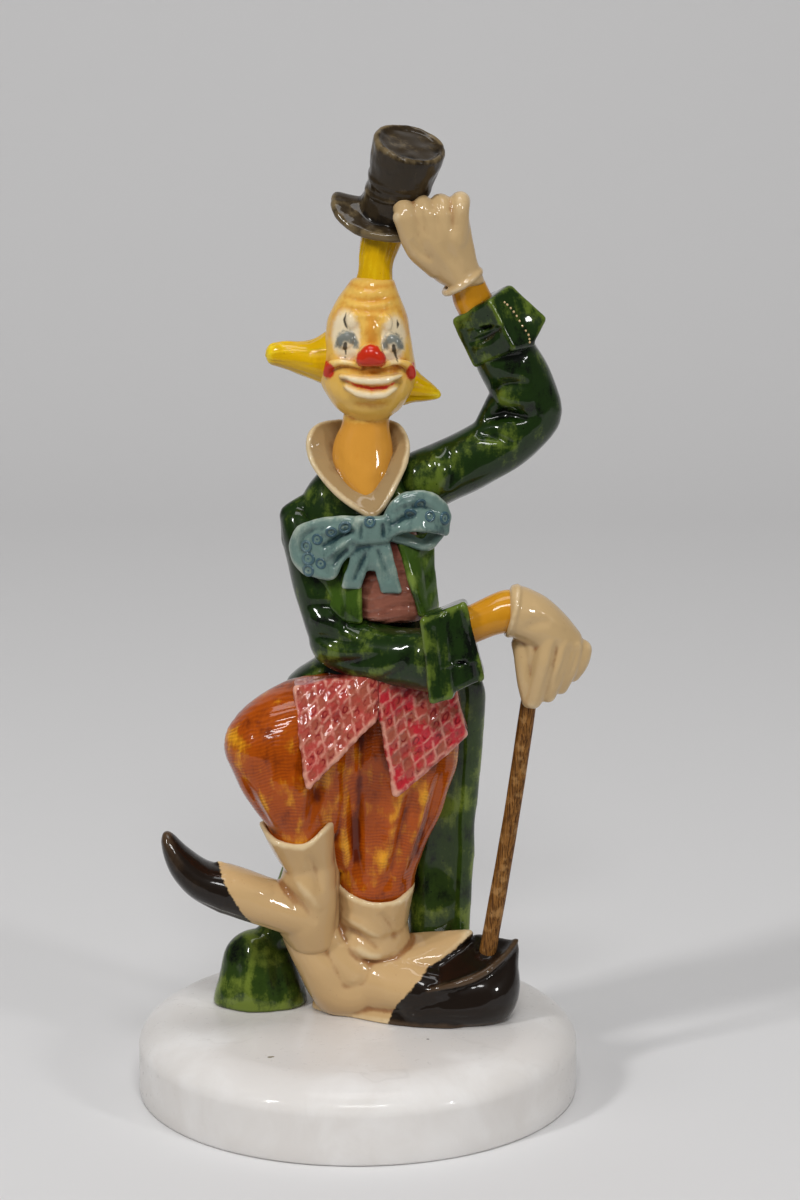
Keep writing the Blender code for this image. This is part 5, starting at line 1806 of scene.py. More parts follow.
@dataclass
class Bow(GlazedPiece):
    """The big ribbon bow: a drooping loop, an open loop, a square knot and hanging ends."""

    # Folds gathered into the knot, and the ribbon's pressed edges
    strokes: Strokes = (
        (1.3, (0, 134.6, 0.8), (-4.6, 131.6, 1.1), (-8.4, 128, 0.8)),
        (-1.3, (0.2, 136.4, 0.7), (-4.6, 134.2, 0.9), (-9.6, 131.2, 0.6)),
        (0.8, (0, 138, 0.6), (-5, 136.6, 0.9), (-10, 134.6, 0.6)),
        (-1.2, (-1.6, 131.4, 0.7), (-4.4, 129, 0.8), (-6.4, 126, 0.6)),
        (-0.9, (-9.6, 137, 0.6), (-14, 133.6, 0.8), (-14.2, 128.6, 0.6)),
        (-1.3, (9, 137.4, 0.7), (12.4, 139.6, 0.9), (16, 140.4, 0.6)),
        (0.9, (9.4, 141, 0.6), (13, 143.6, 0.8), (17.6, 143.8, 0.6)),
        (-0.8, (14, 142.2, 0.6), (18, 142.4, 0.8), (22, 140.2, 0.6)),
        (-0.8, (1.6, 138.6, 0.4), (1.4, 136, 0.6), (1.4, 133.4, 0.4)),
        (-0.8, (7, 138.6, 0.4), (7.2, 136, 0.6), (7.2, 133.8, 0.4)),
        (-0.9, (3, 131, 0.6), (1.4, 127, 0.7), (-0.6, 122.4, 0.5)),
        (-0.9, (5.6, 131.6, 0.6), (7.2, 127, 0.7), (8.8, 122, 0.5)),
    )

    def loops(self) -> list[Hull]:
        """The drooping loop, and the open loop's front and back.

        Returns:
            The hulls.
        """
        droop = sheet(
            [
                (0.5, -12.6, 138.4), (-5, -12.4, 138.6), (-10, -11.8, 137.6), (-14.6, -10.2, 135.6),
                (-16.4, -9.4, 131.6), (-15.8, -9.6, 127.6), (-13.2, -10.4, 124.8),
            ],
            [
                (0.5, -12.8, 132.6), (-2.8, -13.2, 129.8), (-4.4, -13.4, 127.6), (-5.4, -13.2, 125.4),
                (-6.4, -12.8, 124), (-8.6, -12.4, 124), (-11, -11.4, 124.4),
            ],
            1.25,
            steps=3,
        )
        open_front = sheet(
            [
                (8.4, -12.8, 140), (11.6, -13, 144.4), (17.6, -12.2, 145.4), (22.4, -10.2, 142.6),
                (24, -8.6, 139.2),
            ],
            [
                (8.6, -13.6, 134.6), (12, -14.6, 136.6), (17, -14.6, 137), (21.2, -12.4, 136),
                (23.4, -9.8, 135),
            ],
            1.15,
            steps=3,
        )
        open_back = sheet(
            [
                (24, -8.4, 138.6), (22.4, -8, 134.4), (18.8, -9.4, 131), (13.6, -10.6, 132.4),
                (9, -11.6, 134),
            ],
            [
                (22.4, -5.6, 137.6), (20.4, -5.8, 134), (17.6, -6.4, 131.8), (13, -8, 133.6), (9, -9, 135),
            ],
            1.15,
            steps=3,
        )
        return droop + open_front + open_back

    def clay(self) -> list[Hull]:
        """Knot, loops and the hanging ends.

        Returns:
            The hulls.
        """
        knot = slab(
            [
                (0.6, -13.4, 138.2), (7.6, -13.4, 138.4), (7.8, -13.4, 134.2), (0.6, -13.4, 133.6),
                (4, -10, 136),
            ],
            1.7,
        )
        ends = []
        tips = ((2.8, -1.2, 121.2, 1.8), (6, 9.2, 120, 1.9), (4.4, 3.6, 126, 1.2))
        for x_top, x_low, z_low, half in tips:
            top, low = (x_top, -12.6, 133), (x_low, -12.6, z_low)
            middle = add(between(top, low, 0.5), 0, -0.6, 0)
            left = [add(p, -half, 0, 0) for p in (top, middle, low)]
            right = [add(p, half, 0, 0) for p in (top, middle, low)]
            ends += sheet(left, right, 1)
        return knot + self.loops() + ends


@dataclass
class WaistcoatFront(GlazedPiece):
    """The waistcoat's rounded front, brushed in level ridges."""

    # One rounded roll
    parts: Parts = (
        limb((8, -3.4, 133, 8.4, 7.6, 3), (9, -4.2, 122, 10.2, 8.2, 3), (9.2, -4.6, 112.6, 10.2, 8.6, 3)),
    )

    def carving(self, surface: Surface) -> np.ndarray:
        """Level ridges left by the brush, that rise towards one side.

        Args:
            surface: The form's corners.

        Returns:
            A number for each corner.
        """
        x, _, z = surface.points.T
        along = z - 0.16 * x + 0.6 * np.sin(0.45 * x)
        return 0.17 * noise_lines(along * 0.2, x * 0.6, 0.4) + 0.15 * kneaded(surface.points, 2.4, 3)


@dataclass
class WaistcoatFlaps(GlazedPiece):
    """The waistcoat's two pointed flaps below the arm, in painted check."""

    near_corner: Point = (-12.2, 70.2)
    far_corner: Point = (10.6, 66.0)
    square: float = 3.4
    relief: float = 0.14
    # Soft waves in the cloth
    strokes: Strokes = (
        (0.7, (-12, 92, 1.6), (-9, 84, 2.4), (-9, 75, 1.6)),
        (-0.7, (-6, 92, 1.6), (-4, 86, 2.2), (-4, 79, 1.6)),
        (-0.7, (12, 94, 1.6), (14, 84, 2.4), (13.6, 72, 1.6)),
        (0.7, (18, 92, 1.6), (20, 84, 2.4), (20, 76, 1.6)),
    )

    def clay(self) -> list[Hull]:
        """Two flaps, each in two planes.

        Returns:
            The hulls.
        """
        near_fold = [(-14.6, -18.4, 84), (5, -17, 89)]
        near_top = [(-15.6, -13.4, 93.6), (4.8, -15.6, 97)]
        near_point = [(-12.2, -24, 70.2), (4.6, -17.4, 86.8)]
        far_fold = [(7.2, -16.6, 85.6), (27.6, -11.4, 84)]
        far_top = [(7, -15.8, 97), (25.6, -11.4, 92)]
        far_point = [(10.6, -16.2, 66), (28.6, -10.4, 80.6)]
        hulls = []
        for parts in (near_fold + near_top, far_fold + far_top):
            hulls += flap(parts, 1.1, 7)
        for parts in (near_fold + near_point, far_fold + far_point):
            hulls += flap(parts, 1.1, 6)
        return hulls

    def squares(self, points: np.ndarray) -> np.ndarray:
        """The place of each point on its own flap, counted in squares from the flap's lowest corner.

        Args:
            points: The places, in drawing millimetres.

        Returns:
            The two counts and the flap's number, for each point.
        """
        x, _, z = points.T
        far = x > 5.8
        found = np.zeros((len(x), 3))
        for chosen, corner, across, up in (
            (far, self.far_corner, (18, 14.6), (-3.4, 19.6)),
            (~far, self.near_corner, (16.8, 16.6), (-2.4, 13.8)),
        ):
            axes = np.array([np.array(across) / math.hypot(*across), np.array(up) / math.hypot(*up)]).T
            away = np.stack([x[chosen] - corner[0], z[chosen] - corner[1]])
            found[chosen, :2] = (np.linalg.inv(axes) @ away).T / self.square
        found[far, 2] = 1
        return found

    def carving(self, surface: Surface) -> np.ndarray:
        """Raised lines between the squares, a pressed ring in each, and soft waves in the cloth.

        Args:
            surface: The form's corners.

        Returns:
            A number for each corner.
        """
        squares = self.squares(surface.points)[:, :2]
        squares = squares + 0.07 * kneaded(surface.points, 3, 11)[:, None]
        cell = squares - np.floor(squares) - 0.5
        lines = np.exp(-(((0.5 - np.abs(cell).max(axis=1)) / 0.12) ** 2))
        ring = np.exp(-(((np.hypot(*cell.T) - 0.2) / 0.11) ** 2))
        ring = ring * (0.6 + 0.6 * kneaded(surface.points, 5, 2))
        front = np.clip(0.2 - surface.normals[:, 1] * 1.4, 0, 1)
        waves = super().carving(surface)
        return waves + self.relief * (lines - 0.8 * ring) * front

    def painting(self, surface: Surface) -> dict[str, np.ndarray]:
        """The check's own coordinates."""
        return {"cloth": self.squares(surface.points)}


@dataclass
class Trousers(GlazedPiece):
    """Wide trousers: the leg that carries the weight, and the raised one with its round knee."""

    knee: Point = (-22.4, -10.5, 77.4)
    # Long folds gathered to each ankle, and a few from the crotch
    strokes: Strokes = (
        (1, (-4.6, 70, 1.5), (-3.8, 54, 2), (-1.2, 37, 1.3)),
        (-1.1, (-1, 70, 1.4), (-0.6, 54, 1.8), (1.6, 37, 1.1)),
        (0.9, (12.6, 72, 1.5), (9.2, 54, 1.9), (4.4, 36, 1.2)),
        (-1.1, (15.6, 70, 1.3), (12.2, 54, 1.7), (7.6, 37, 1.1)),
        (1, (19.4, 70, 1.4), (16, 54, 1.8), (10.6, 38, 1.1)),
        (-1, (22.6, 70, 1.3), (19, 56, 1.7), (13.4, 40, 1)),
        (0.8, (26, 72, 1.3), (22.4, 58, 1.6), (16.6, 42, 1)),
        (-1, (-8.4, 78, 1.4), (-10.4, 67, 1.8), (-13, 56, 1.1)),
        (0.8, (-12, 76, 1.4), (-14, 66, 1.8), (-15.6, 55, 1.1)),
        (0.7, (-26, 70, 1.3), (-23.6, 63, 1.7), (-20.6, 56, 1)),
        (-0.8, (-30, 71, 1.3), (-26.6, 64, 1.7), (-22.8, 57, 1)),
    )
    flank: float = 0.3

    def standing_leg(self) -> list[Hull]:
        """The straight leg, narrower towards the ankle.

        Returns:
            The hulls.
        """
        outline = (
            (92, 9, 15, 11.5), (82, 11.2, 16.2, 12.4), (71, 11, 16.2, 12.6), (60, 8.9, 14.6, 11.8),
            (47, 6.1, 12.2, 10.6), (40, 4.9, 11, 10.4), (35, 4.6, 10.8, 10.4), (31, 4.5, 9.8, 9.4),
        )
        return limb(*(bead((x, -0.5, z), wide, deep, 1.6) for z, x, wide, deep in outline))

    def raised_leg(self) -> list[Hull]:
        """The thigh, knee and shin, with the clay between the legs.

        Returns:
            The hulls.
        """
        thigh = limb(
            (0, 1, 90, 10, 11, 7), (-12, -4, 85.6, 11.2, 12, 9.2), (-20, -9, 81.2, 12, 11.6, 10.6),
            bead(self.knee, 12.8, 12.2, 11.8),
        )
        shin = limb(
            bead(self.knee, 12.8, 12.2, 11.8),
            (-20.6, -11.5, 68.5, 11, 11.2, 6), (-17.6, -11, 60.5, 9.6, 9.8, 4),
            (-15.6, -10.5, 55.5, 8.6, 8.8, 2), (-15.2, -10.5, 52, 8.4, 8.4, 2),
        )
        inseam = limb(
            (-9.6, -9, 76, 7.4), (-10.4, -9.2, 66, 7), (-11, -9.4, 56, 6),
        )
        behind = limb(
            (-4, -5, 78, 7.4), (-3.6, -5.4, 62, 6.2), (-3.6, -4.4, 46, 5.2),
        )
        return thigh + shin + inseam + behind

    def clay(self) -> list[Hull]:
        """Both legs."""
        return self.standing_leg() + self.raised_leg()

    def carving(self, surface: Surface) -> np.ndarray:
        """Long folds gathered to each ankle, a few from the crotch, and the threads' own relief.

        Args:
            surface: The form's corners.

        Returns:
            A number for each corner.
        """
        folds = super().carving(surface)
        u, v = self.cloth(surface.points).T[:2]
        threads = np.sin(2 * np.pi * v / 1.05 + 0.5 * np.sin(u * 0.9))
        return folds + 0.035 * threads

    def cloth(self, points: np.ndarray) -> np.ndarray:
        """The cloth's own place at each point, in millimetres round its leg and down it.

        Args:
            points: The places, in drawing millimetres.

        Returns:
            The place round the leg, the place down it and 0, for each point.
        """
        x, y, z = points.T
        standing_x = np.interp(z, [37.5, 47, 60, 71, 92], [4.9, 6.1, 8.9, 11, 10])
        raised_x = np.interp(z, [55.5, 60.5, 68.5, 77.4], [-15.8, -17.6, -20.6, -21.4])
        standing = np.arctan2(x - standing_x, -(y + 0.5)) * 12.5
        raised = np.arctan2(x - raised_x, -(y + 7)) * 11
        on_raised = x < np.interp(z, [46, 60, 75, 92], [-3, -3, -4, 2])
        down = np.where(on_raised, z + 0.016 * (x + 14) ** 2, z + 0.012 * (x - 8) ** 2)
        return np.stack([np.where(on_raised, raised, standing), down, np.zeros_like(x)], axis=1)

    def painting(self, surface: Surface) -> dict[str, np.ndarray]:
        """The cloth's own coordinates."""
        return {"cloth": self.cloth(surface.points)}


@dataclass
class RaisedBoot(GlazedPiece):
    """The boot in the air: a flared top, a bent ankle and a long toe that curls upwards to the left."""

    # Spat, foot, toe and tongue
    parts: Parts = (
        # The flared top, the ankle and the clay that ties it to the leg behind
        sheet(
            [
                (-25.4, -10, 55.8), (-21.8, -17.4, 53), (-14, -19.6, 52.2), (-9, -17.4, 55.6),
                (-6.6, -11, 57), (-8, -3, 56.5), (-17, -1.6, 55.6), (-25.4, -10, 55.8),
            ],
            [
                (-20.6, -10, 46), (-18, -14.4, 44.6), (-14, -15.4, 43.6), (-8.6, -14.2, 45),
                (-7.2, -10, 45.6), (-8.6, -5, 45), (-15.6, -4.6, 45), (-20.6, -10, 46),
            ],
            0.9, steps=3,
        ),
        limb(
            (-14.6, -10, 50, 6.8, 6.8, 3), (-12.8, -9.6, 44.6, 6.8, 7, 3), (-13.6, -9, 36, 8.2, 7.6, 3),
            (-14.2, -8, 28.6, 8.4, 7.6, 4), (-12.6, -5.2, 22.4, 6.8, 7.2, 4.4),
        ),
        limb((-9, -6, 50, 4, 5, 3), (-8.6, -5.4, 38, 4.2, 5, 3), (-9, -4.4, 26, 4.4, 5, 3)),
        limb(
            (-16, -9, 31, 7, 7.4, 7), (-23, -11, 33.8, 6, 7.6, 6.6), (-29.6, -12.6, 36.8, 5.4, 7.8, 6.8),
            (-35.2, -13.4, 38.8, 5, 7.8, 6.8),
        ),
        limb(
            (-35, -13.4, 38.6, 5.6, 8.2, 6.6), (-41.4, -14, 41.4, 5, 7.4, 5.4),
            (-46.4, -14.4, 46, 3.8, 6, 4.6), (-49.6, -14.6, 51.2, 2.4, 3.8, 3),
            (-50.5, -14.6, 53.6, 1.4, 1.9, 1.6),
        ),
        slab([(-36.8, -13.4, 45.4), (-33, -13, 43), (-27, -12, 40.6)], 1.2),
    )
    # Soft folds at the ankle and the sole's edge along the foot
    strokes: Strokes = (
        (0.9, (-17.6, 44, 1.2), (-13.4, 39, 1.8), (-9, 33, 1.2)),
        (-0.9, (-20, 40.6, 1), (-15, 35.6, 1.4), (-10.6, 29, 1)),
        (-0.7, (-12.6, 50, 1), (-10.6, 44, 1.4), (-9.6, 38, 1)),
        (0.6, (-22, 38.4, 1.2), (-27, 40, 1.6), (-33, 43, 1.2)),
        (-0.5, (-20, 27.4, 0.4), (-30, 31, 0.5), (-42, 37, 0.4)),
    )
    flank: float = 0.4

    def painting(self, surface: Surface) -> dict[str, np.ndarray]:
        """The dark toe begins at a line across the foot.

        Args:
            surface: The form's corners.

        Returns:
            The attributes, by name.
        """
        line = [
            (-37.8, 48, 0), (-36.2, 44.8, 0), (-34, 40.6, 0), (-31.2, 35.4, 0), (-28.2, 30, 0),
            (-25, 27.6, 0), (-22.6, 26.4, 0), (-21.6, 20, 0),
        ]
        distance, side = line_distance(surface.points, line)
        return {Paint.DARK.value: distance * side}


@dataclass
class StandingBoot(GlazedPiece):
    """The boot on the ground: folds over the instep, and a broad toe with a rim that ends in a point."""

    # Spat, foot and toe
    parts: Parts = (
        # The flared top and the ankle
        sheet(
            [
                (-6.2, -3, 38.2), (-2.4, -9.2, 35.6), (4.4, -11.6, 33.6), (11.6, -9.6, 34.2),
                (14.8, -2, 36.8), (12, 6, 37.6), (0, 6, 38.6), (-6.2, -3, 38.2),
            ],
            [
                (-5.2, -3, 27), (-1.4, -7.4, 26), (4.4, -9.2, 25), (10.4, -7.6, 25.4), (13, -2, 26.6),
                (11, 5, 28), (0, 5, 28), (-5.2, -3, 27),
            ],
            0.9, steps=3,
        ),
        limb((3.9, -1, 32, 9.6, 8.4, 3), (3.6, -1, 26, 10.2, 8.6, 3), (3.6, -0.6, 19, 11.2, 9.2, 3)),
        # The foot down to its flat sole, and its upper
        limb(
            (-4.4, 0.6, 7.8, 9.2, 9.4, 9.8), (4, -0.4, 9.6, 11.6, 9.4, 9.6), (15, -5, 9, 10.4, 9.8, 8),
            (25, -6.6, 8, 8.8, 9, 7),
        ),
        limb(
            (-4.6, 3.4, 0, 8.2, 5.8, 6), (3, -0.6, 0, 8.6, 6.2, 6), (14, -6.4, 0, 8, 6.6, 6),
            (24, -8, 0, 8, 7, 6),
        ),
        slab(
            [
                (8, -7.6, 15.6), (15, -9.4, 12.4), (22.6, -7.4, 17.4), (30.4, -2.6, 22.6), (22, 4, 19.6),
                (11, 3, 19.6),
            ],
            1.3,
        ),
        limb(
            (-14.4, -3.6, 23, 6.2, 6.6, 5), (-9.4, -2.4, 15, 7.6, 8.2, 7), (-4.4, 0.2, 8.4, 9, 9.6, 9.6),
            (3, -0.4, 9.4, 10.6, 9.6, 9.6),
        ),
        limb((-8.4, -3.4, 24, 4.4, 5.6, 4), (-5, -2.8, 18, 6, 7.4, 5), (-1, -2, 13, 8, 8.6, 6)),
        # The broad toe, its dished top, its rim and the seat for the cane
        slab(
            [
                (17, -12.4, 10.6), (25, -14, 12), (33, -12.2, 14.4), (39.8, -7, 18), (41.8, -3, 20),
                (33, 0.4, 20.4), (24, -2, 18.4),
            ],
            1.3,
        ),
        limb(
            (19, -7.6, 4.4, 9, 7.8, 6), (25, -7.8, 5.6, 9, 8.4, 7), (32.6, -7.4, 6.4, 9, 8.6, 8.4),
            (38, -5.4, 8, 6.2, 7.4, 9), (41.2, -4, 13.4, 2.6, 4.2, 6.4), (42.8, -3, 18.4, 1.3, 2, 2.2),
        ),
        limb(
            (15.6, -13.8, 9.6, 0.7), (21.6, -15.4, 11.4, 0.9), (28.4, -15, 13, 1.1),
            (34.6, -12.6, 15.2, 1.1), (40, -8, 18.4, 1.1), (43.1, -3.4, 21, 0.9),
        ),
        limb((34.6, -5.6, 13, 5.6, 5, 4), (34.9, -5.8, 17.4, 3.4, 3.4, 2.6)),
    )
    # Folds over the instep, and a flat along the side of the toe
    strokes: Strokes = (
        (0.9, (-4.6, 29.6, 1), (1, 27.6, 1.6), (7.4, 23, 1)),
        (-0.9, (-5, 26, 0.9), (0, 24.6, 1.2), (6.6, 20, 0.8)),
        (0.8, (-6, 21.6, 1), (0, 20.6, 1.6), (8, 16.6, 1)),
        (-0.7, (6, 31.6, 0.9), (9, 27, 1.3), (10.6, 22, 0.9)),
        (0.5, (10, 15, 1.2), (17, 18, 1.6), (24, 21, 1)),
        (-0.5, (22, 6.4, 2), (29, 7.6, 2.8), (36, 9.4, 2)),
    )
    flank: float = 0.4

    def painting(self, surface: Surface) -> dict[str, np.ndarray]:
        """The dark toe begins at a line that climbs from the sole to the instep.

        Args:
            surface: The form's corners.

        Returns:
            The attributes, by name.
        """
        line = [
            (7.5, -2, 0), (10.7, 6.3, 0), (14.3, 10.5, 0), (17, 13.4, 0), (19, 15.4, 0), (22.3, 17.2, 0),
            (26.5, 19.5, 0), (30.5, 22.6, 0), (34, 26, 0),
        ]
        distance, side = line_distance(surface.points, line)
        return {Paint.DARK.value: distance * side}


def ringed(name: str, rings: list[list[Point]], finish: "Underglaze") -> bpy.types.Object:
    """A closed piece strung between rings of corners.

    Args:
        name: The piece's name.
        rings: The rings, from the lowest up, each with as many corners, in metres.
        finish: The finish it wears.

    Returns:
        The piece, shaded smooth.
    """
    count = len(rings[0])
    faces = [
        (first + side, first + (side + 1) % count, first + count + (side + 1) % count, first + count + side)
        for first in range(0, count * (len(rings) - 1), count)
        for side in range(count)
    ]
    top = count * (len(rings) - 1)
    mesh = bpy.data.meshes.new(name)
    mesh.from_pydata(sum(rings, []), [], [*faces, tuple(range(count))[::-1], tuple(range(top, top + count))])
    mesh.materials.append(finish.material())
    mesh.shade_smooth()
    mesh.set_sharp_from_angle(angle=math.radians(50))
    return new_object(name, mesh)


@dataclass(frozen=True)
class Cane:
    """The wooden cane, thicker at its foot, with an end in the glove and one in the shoe."""

    finish: CaneWood
    grip: Point = (45.3, -13.2, 89.0)
    shoe: Point = (35.2, -6.5, 18.6)
    top_radius: float = 2.1
    foot_radius: float = 2.3
    past_grip: float = 4.5
    past_shoe: float = 3.5
    bow: float = 0.5
    steps: int = 96
    sides: int = 32

    def build(self) -> bpy.types.Object:
        """Strings rings of corners along the cane and closes both ends.

        Returns:
            The object.
        """
        grip, shoe = Vector(self.grip), Vector(self.shoe)
        along = (grip - shoe).normalized()
        low, high = shoe - along * self.past_shoe, grip + along * self.past_grip
        turn = Vector((0, 0, 1)).rotation_difference(along).to_matrix()
        rings = []
        for step in range(self.steps + 1):
            share = step / self.steps
            middle = low.lerp(high, share) + Vector((self.bow * math.sin(math.pi * share), 0, 0))
            uneven = 1 + 0.012 * math.sin(9.0 * share) + 0.008 * math.sin(31.0 * share)
            radius = (self.foot_radius + (self.top_radius - self.foot_radius) * share) * uneven
            rounding = min(step, self.steps - step)
            radius *= (0.8, 0.95)[rounding] if rounding < 2 else 1.0
            angles = [2 * math.pi * side / self.sides for side in range(self.sides)]
            spokes = [turn @ Vector((radius * math.cos(a), radius * math.sin(a), 0)) for a in angles]
            rings.append([placed(*(middle + spoke)) for spoke in spokes])
        return dress(ringed("cane_stick", rings, self.finish), "cane")


@dataclass(frozen=True)
class Plinth:
    """The turned plinth of white stone: a flat top, a soft shoulder and a nearly upright side."""

    finish: Alabaster
    diameter: float = 120.0
    flat_diameter: float = 94.0
    foot_ease: float = 0.8
    sides: int = 160

    def outline(self) -> list[Point]:
        """The turned profile as rows of radius and height in millimetres, from the foot to the top.

        Returns:
            The points.
        """
        radius, flat = self.diameter / 2, self.flat_diameter / 2
        height = PLINTH_LEVEL * 1000
        wall = height * 0.62
        rows = [(radius - self.foot_ease, 0.0), (radius - 0.25, 0.22), (radius, self.foot_ease)]
        rows += [(radius, self.foot_ease + (wall - self.foot_ease) * share) for share in (0.33, 0.66)]
        for step in range(33):
            angle = math.pi / 2 * step / 32
            bulge = 1 - (1 - math.sin(angle)) ** 0.9 if step < 32 else 1.0
            rows.append((flat + (radius - flat) * math.cos(angle) ** 0.85, wall + (height - wall) * bulge))
        return rows + [(flat * share, height) for share in (0.8, 0.6, 0.4, 0.2)]

    def build(self) -> bpy.types.Object:
        """Turns the profile.

        Returns:
            The finished plinth.
        """
        angles = [2 * math.pi * side / self.sides for side in range(self.sides)]
        rings = [
            [(radius * math.cos(a) / 1000, radius * math.sin(a) / 1000, height / 1000) for a in angles]
            for radius, height in self.outline()
        ]
        return dress(ringed("alabaster_plinth", rings, self.finish), "plinth")


def seat_points(target: bpy.types.Object, spots: list[Point], sink: float) -> list[tuple[Vector, Vector]]:
    """Finds where spots on the front view lie on a piece.

    Args:
        target: The piece.
        spots: Rows of x and z in drawing millimetres.
        sink: How far below the surface each place is sunk, in millimetres.

    Returns:
        The place and the facing of each spot that meets the piece, in metres.
    """
    tree = BVHTree.FromObject(target, bpy.context.evaluated_depsgraph_get())
    found = []
    for x, z in spots:
        start = Vector((x * UNIT, -0.1, z * UNIT + BASE_LEVEL))
        place, facing, _, _ = tree.ray_cast(start, Vector((0, 1, 0)))
        if place is not None:
            found.append((place - facing * sink * UNIT, facing))
    return found


@dataclass(frozen=True)
class Applique:
    """Small raised marks pressed onto a piece, one at each of its spots, made with Geometry Nodes."""

    name: str
    finish: Underglaze
    spots: tuple[Point, ...]
    ring_radius: float
    tube_radius: float
    sink: float
    seed: int
    unevenness: float = 0.12

    def tree(self) -> bpy.types.NodeTree:
        """The node tree: at each point a ring or, where its radius is 0, a dot, turned to its facing.

        Returns:
            The tree.
        """
        name = f"{self.name}_tree"
        tree = bpy.data.node_groups.new(name, "GeometryNodeTree")
        interface = tree.interface
        interface.new_socket("Geometry", in_out="INPUT", socket_type="NodeSocketGeometry")
        for size in ("Ring Radius", "Tube Radius", "Unevenness"):
            interface.new_socket(size, in_out="INPUT", socket_type="NodeSocketFloat")
        interface.new_socket("Seed", in_out="INPUT", socket_type="NodeSocketInt")
        interface.new_socket("Glaze", in_out="INPUT", socket_type="NodeSocketMaterial")
        interface.new_socket("Geometry", in_out="OUTPUT", socket_type="NodeSocketGeometry")
        w = Wiring(tree)
        given = w.node("NodeGroupInput").outputs
        radius, tube = given["Ring Radius"], given["Tube Radius"]
        circle = "GeometryNodeCurvePrimitiveCircle"
        line = w.node(circle, {"Resolution": 20, "Radius": radius}).outputs["Curve"]
        profile = w.node(circle, {"Resolution": 10, "Radius": tube}).outputs["Curve"]
        ring = w.node("GeometryNodeCurveToMesh", {"Curve": line, "Profile Curve": profile}).outputs["Mesh"]
        dot = w.node("GeometryNodeMeshIcoSphere", {"Subdivisions": 3, "Radius": tube}).outputs["Mesh"]
        feeds = {"A": radius, "B": 0.0}
        is_ring = w.node("FunctionNodeCompare", feeds, data_type="FLOAT", operation="GREATER_THAN")
        feeds = {"Switch": is_ring.outputs["Result"], "False": dot, "True": ring}
        mark = w.node("GeometryNodeSwitch", feeds, input_type="GEOMETRY").outputs["Output"]
        facing = w.node("GeometryNodeInputNamedAttribute", data_type="FLOAT_VECTOR")
        facing.inputs["Name"].default_value = "facing"
        feeds = {"Vector": facing.outputs["Attribute"]}
        turn = w.node("FunctionNodeAlignRotationToVector", feeds, axis="Z").outputs["Rotation"]
        uneven = given["Unevenness"]
        feeds = {2: w.math("SUBTRACT", 1.0, uneven), 3: w.math("ADD", 1.0, uneven), "Seed": given["Seed"]}
        size = w.node("FunctionNodeRandomValue", feeds, data_type="FLOAT").outputs[1]
        feeds = {"Points": given["Geometry"], "Instance": mark, "Rotation": turn, "Scale": size}
        laid = w.node("GeometryNodeInstanceOnPoints", feeds).outputs["Instances"]
        real = w.node("GeometryNodeRealizeInstances", {"Geometry": laid}).outputs["Geometry"]
        dressed = w.node("GeometryNodeSetMaterial", {"Geometry": real, "Material": given["Glaze"]})
        w.feed(w.node("NodeGroupOutput").inputs["Geometry"], dressed.outputs["Geometry"])
        return tree

    def build(self, target: bpy.types.Object) -> bpy.types.Object:
        """Presses the marks onto a piece.

        Args:
            target: The piece that carries them.

        Returns:
            The marks, as one plain mesh.
        """
        seats = seat_points(target, list(self.spots), self.sink)
        mesh = bpy.data.meshes.new(self.name)
        mesh.from_pydata([place for place, _ in seats], [], [])
        write_attribute(mesh, "facing", np.array([facing for _, facing in seats]))
        marks = new_object(self.name, mesh)
        tree = self.tree()
        press = marks.modifiers.new("press", "NODES")
        press.node_group = tree
        values = {
            "Ring Radius": self.ring_radius * UNIT,
            "Tube Radius": self.tube_radius * UNIT,
            "Unevenness": self.unevenness,
            "Seed": self.seed,
            "Glaze": self.finish.material(),
        }
        for socket in tree.interface.items_tree:
            if socket.in_out == "INPUT" and socket.name in values:
                press[socket.identifier] = values[socket.name]
        settled(marks)
        for name, value in (("thin", 0.3), ("pool", 0.0)):
            write_attribute(marks.data, name, np.full(len(marks.data.vertices), value))
        marks.data.shade_smooth()
        return dress(marks, "clown_figure")


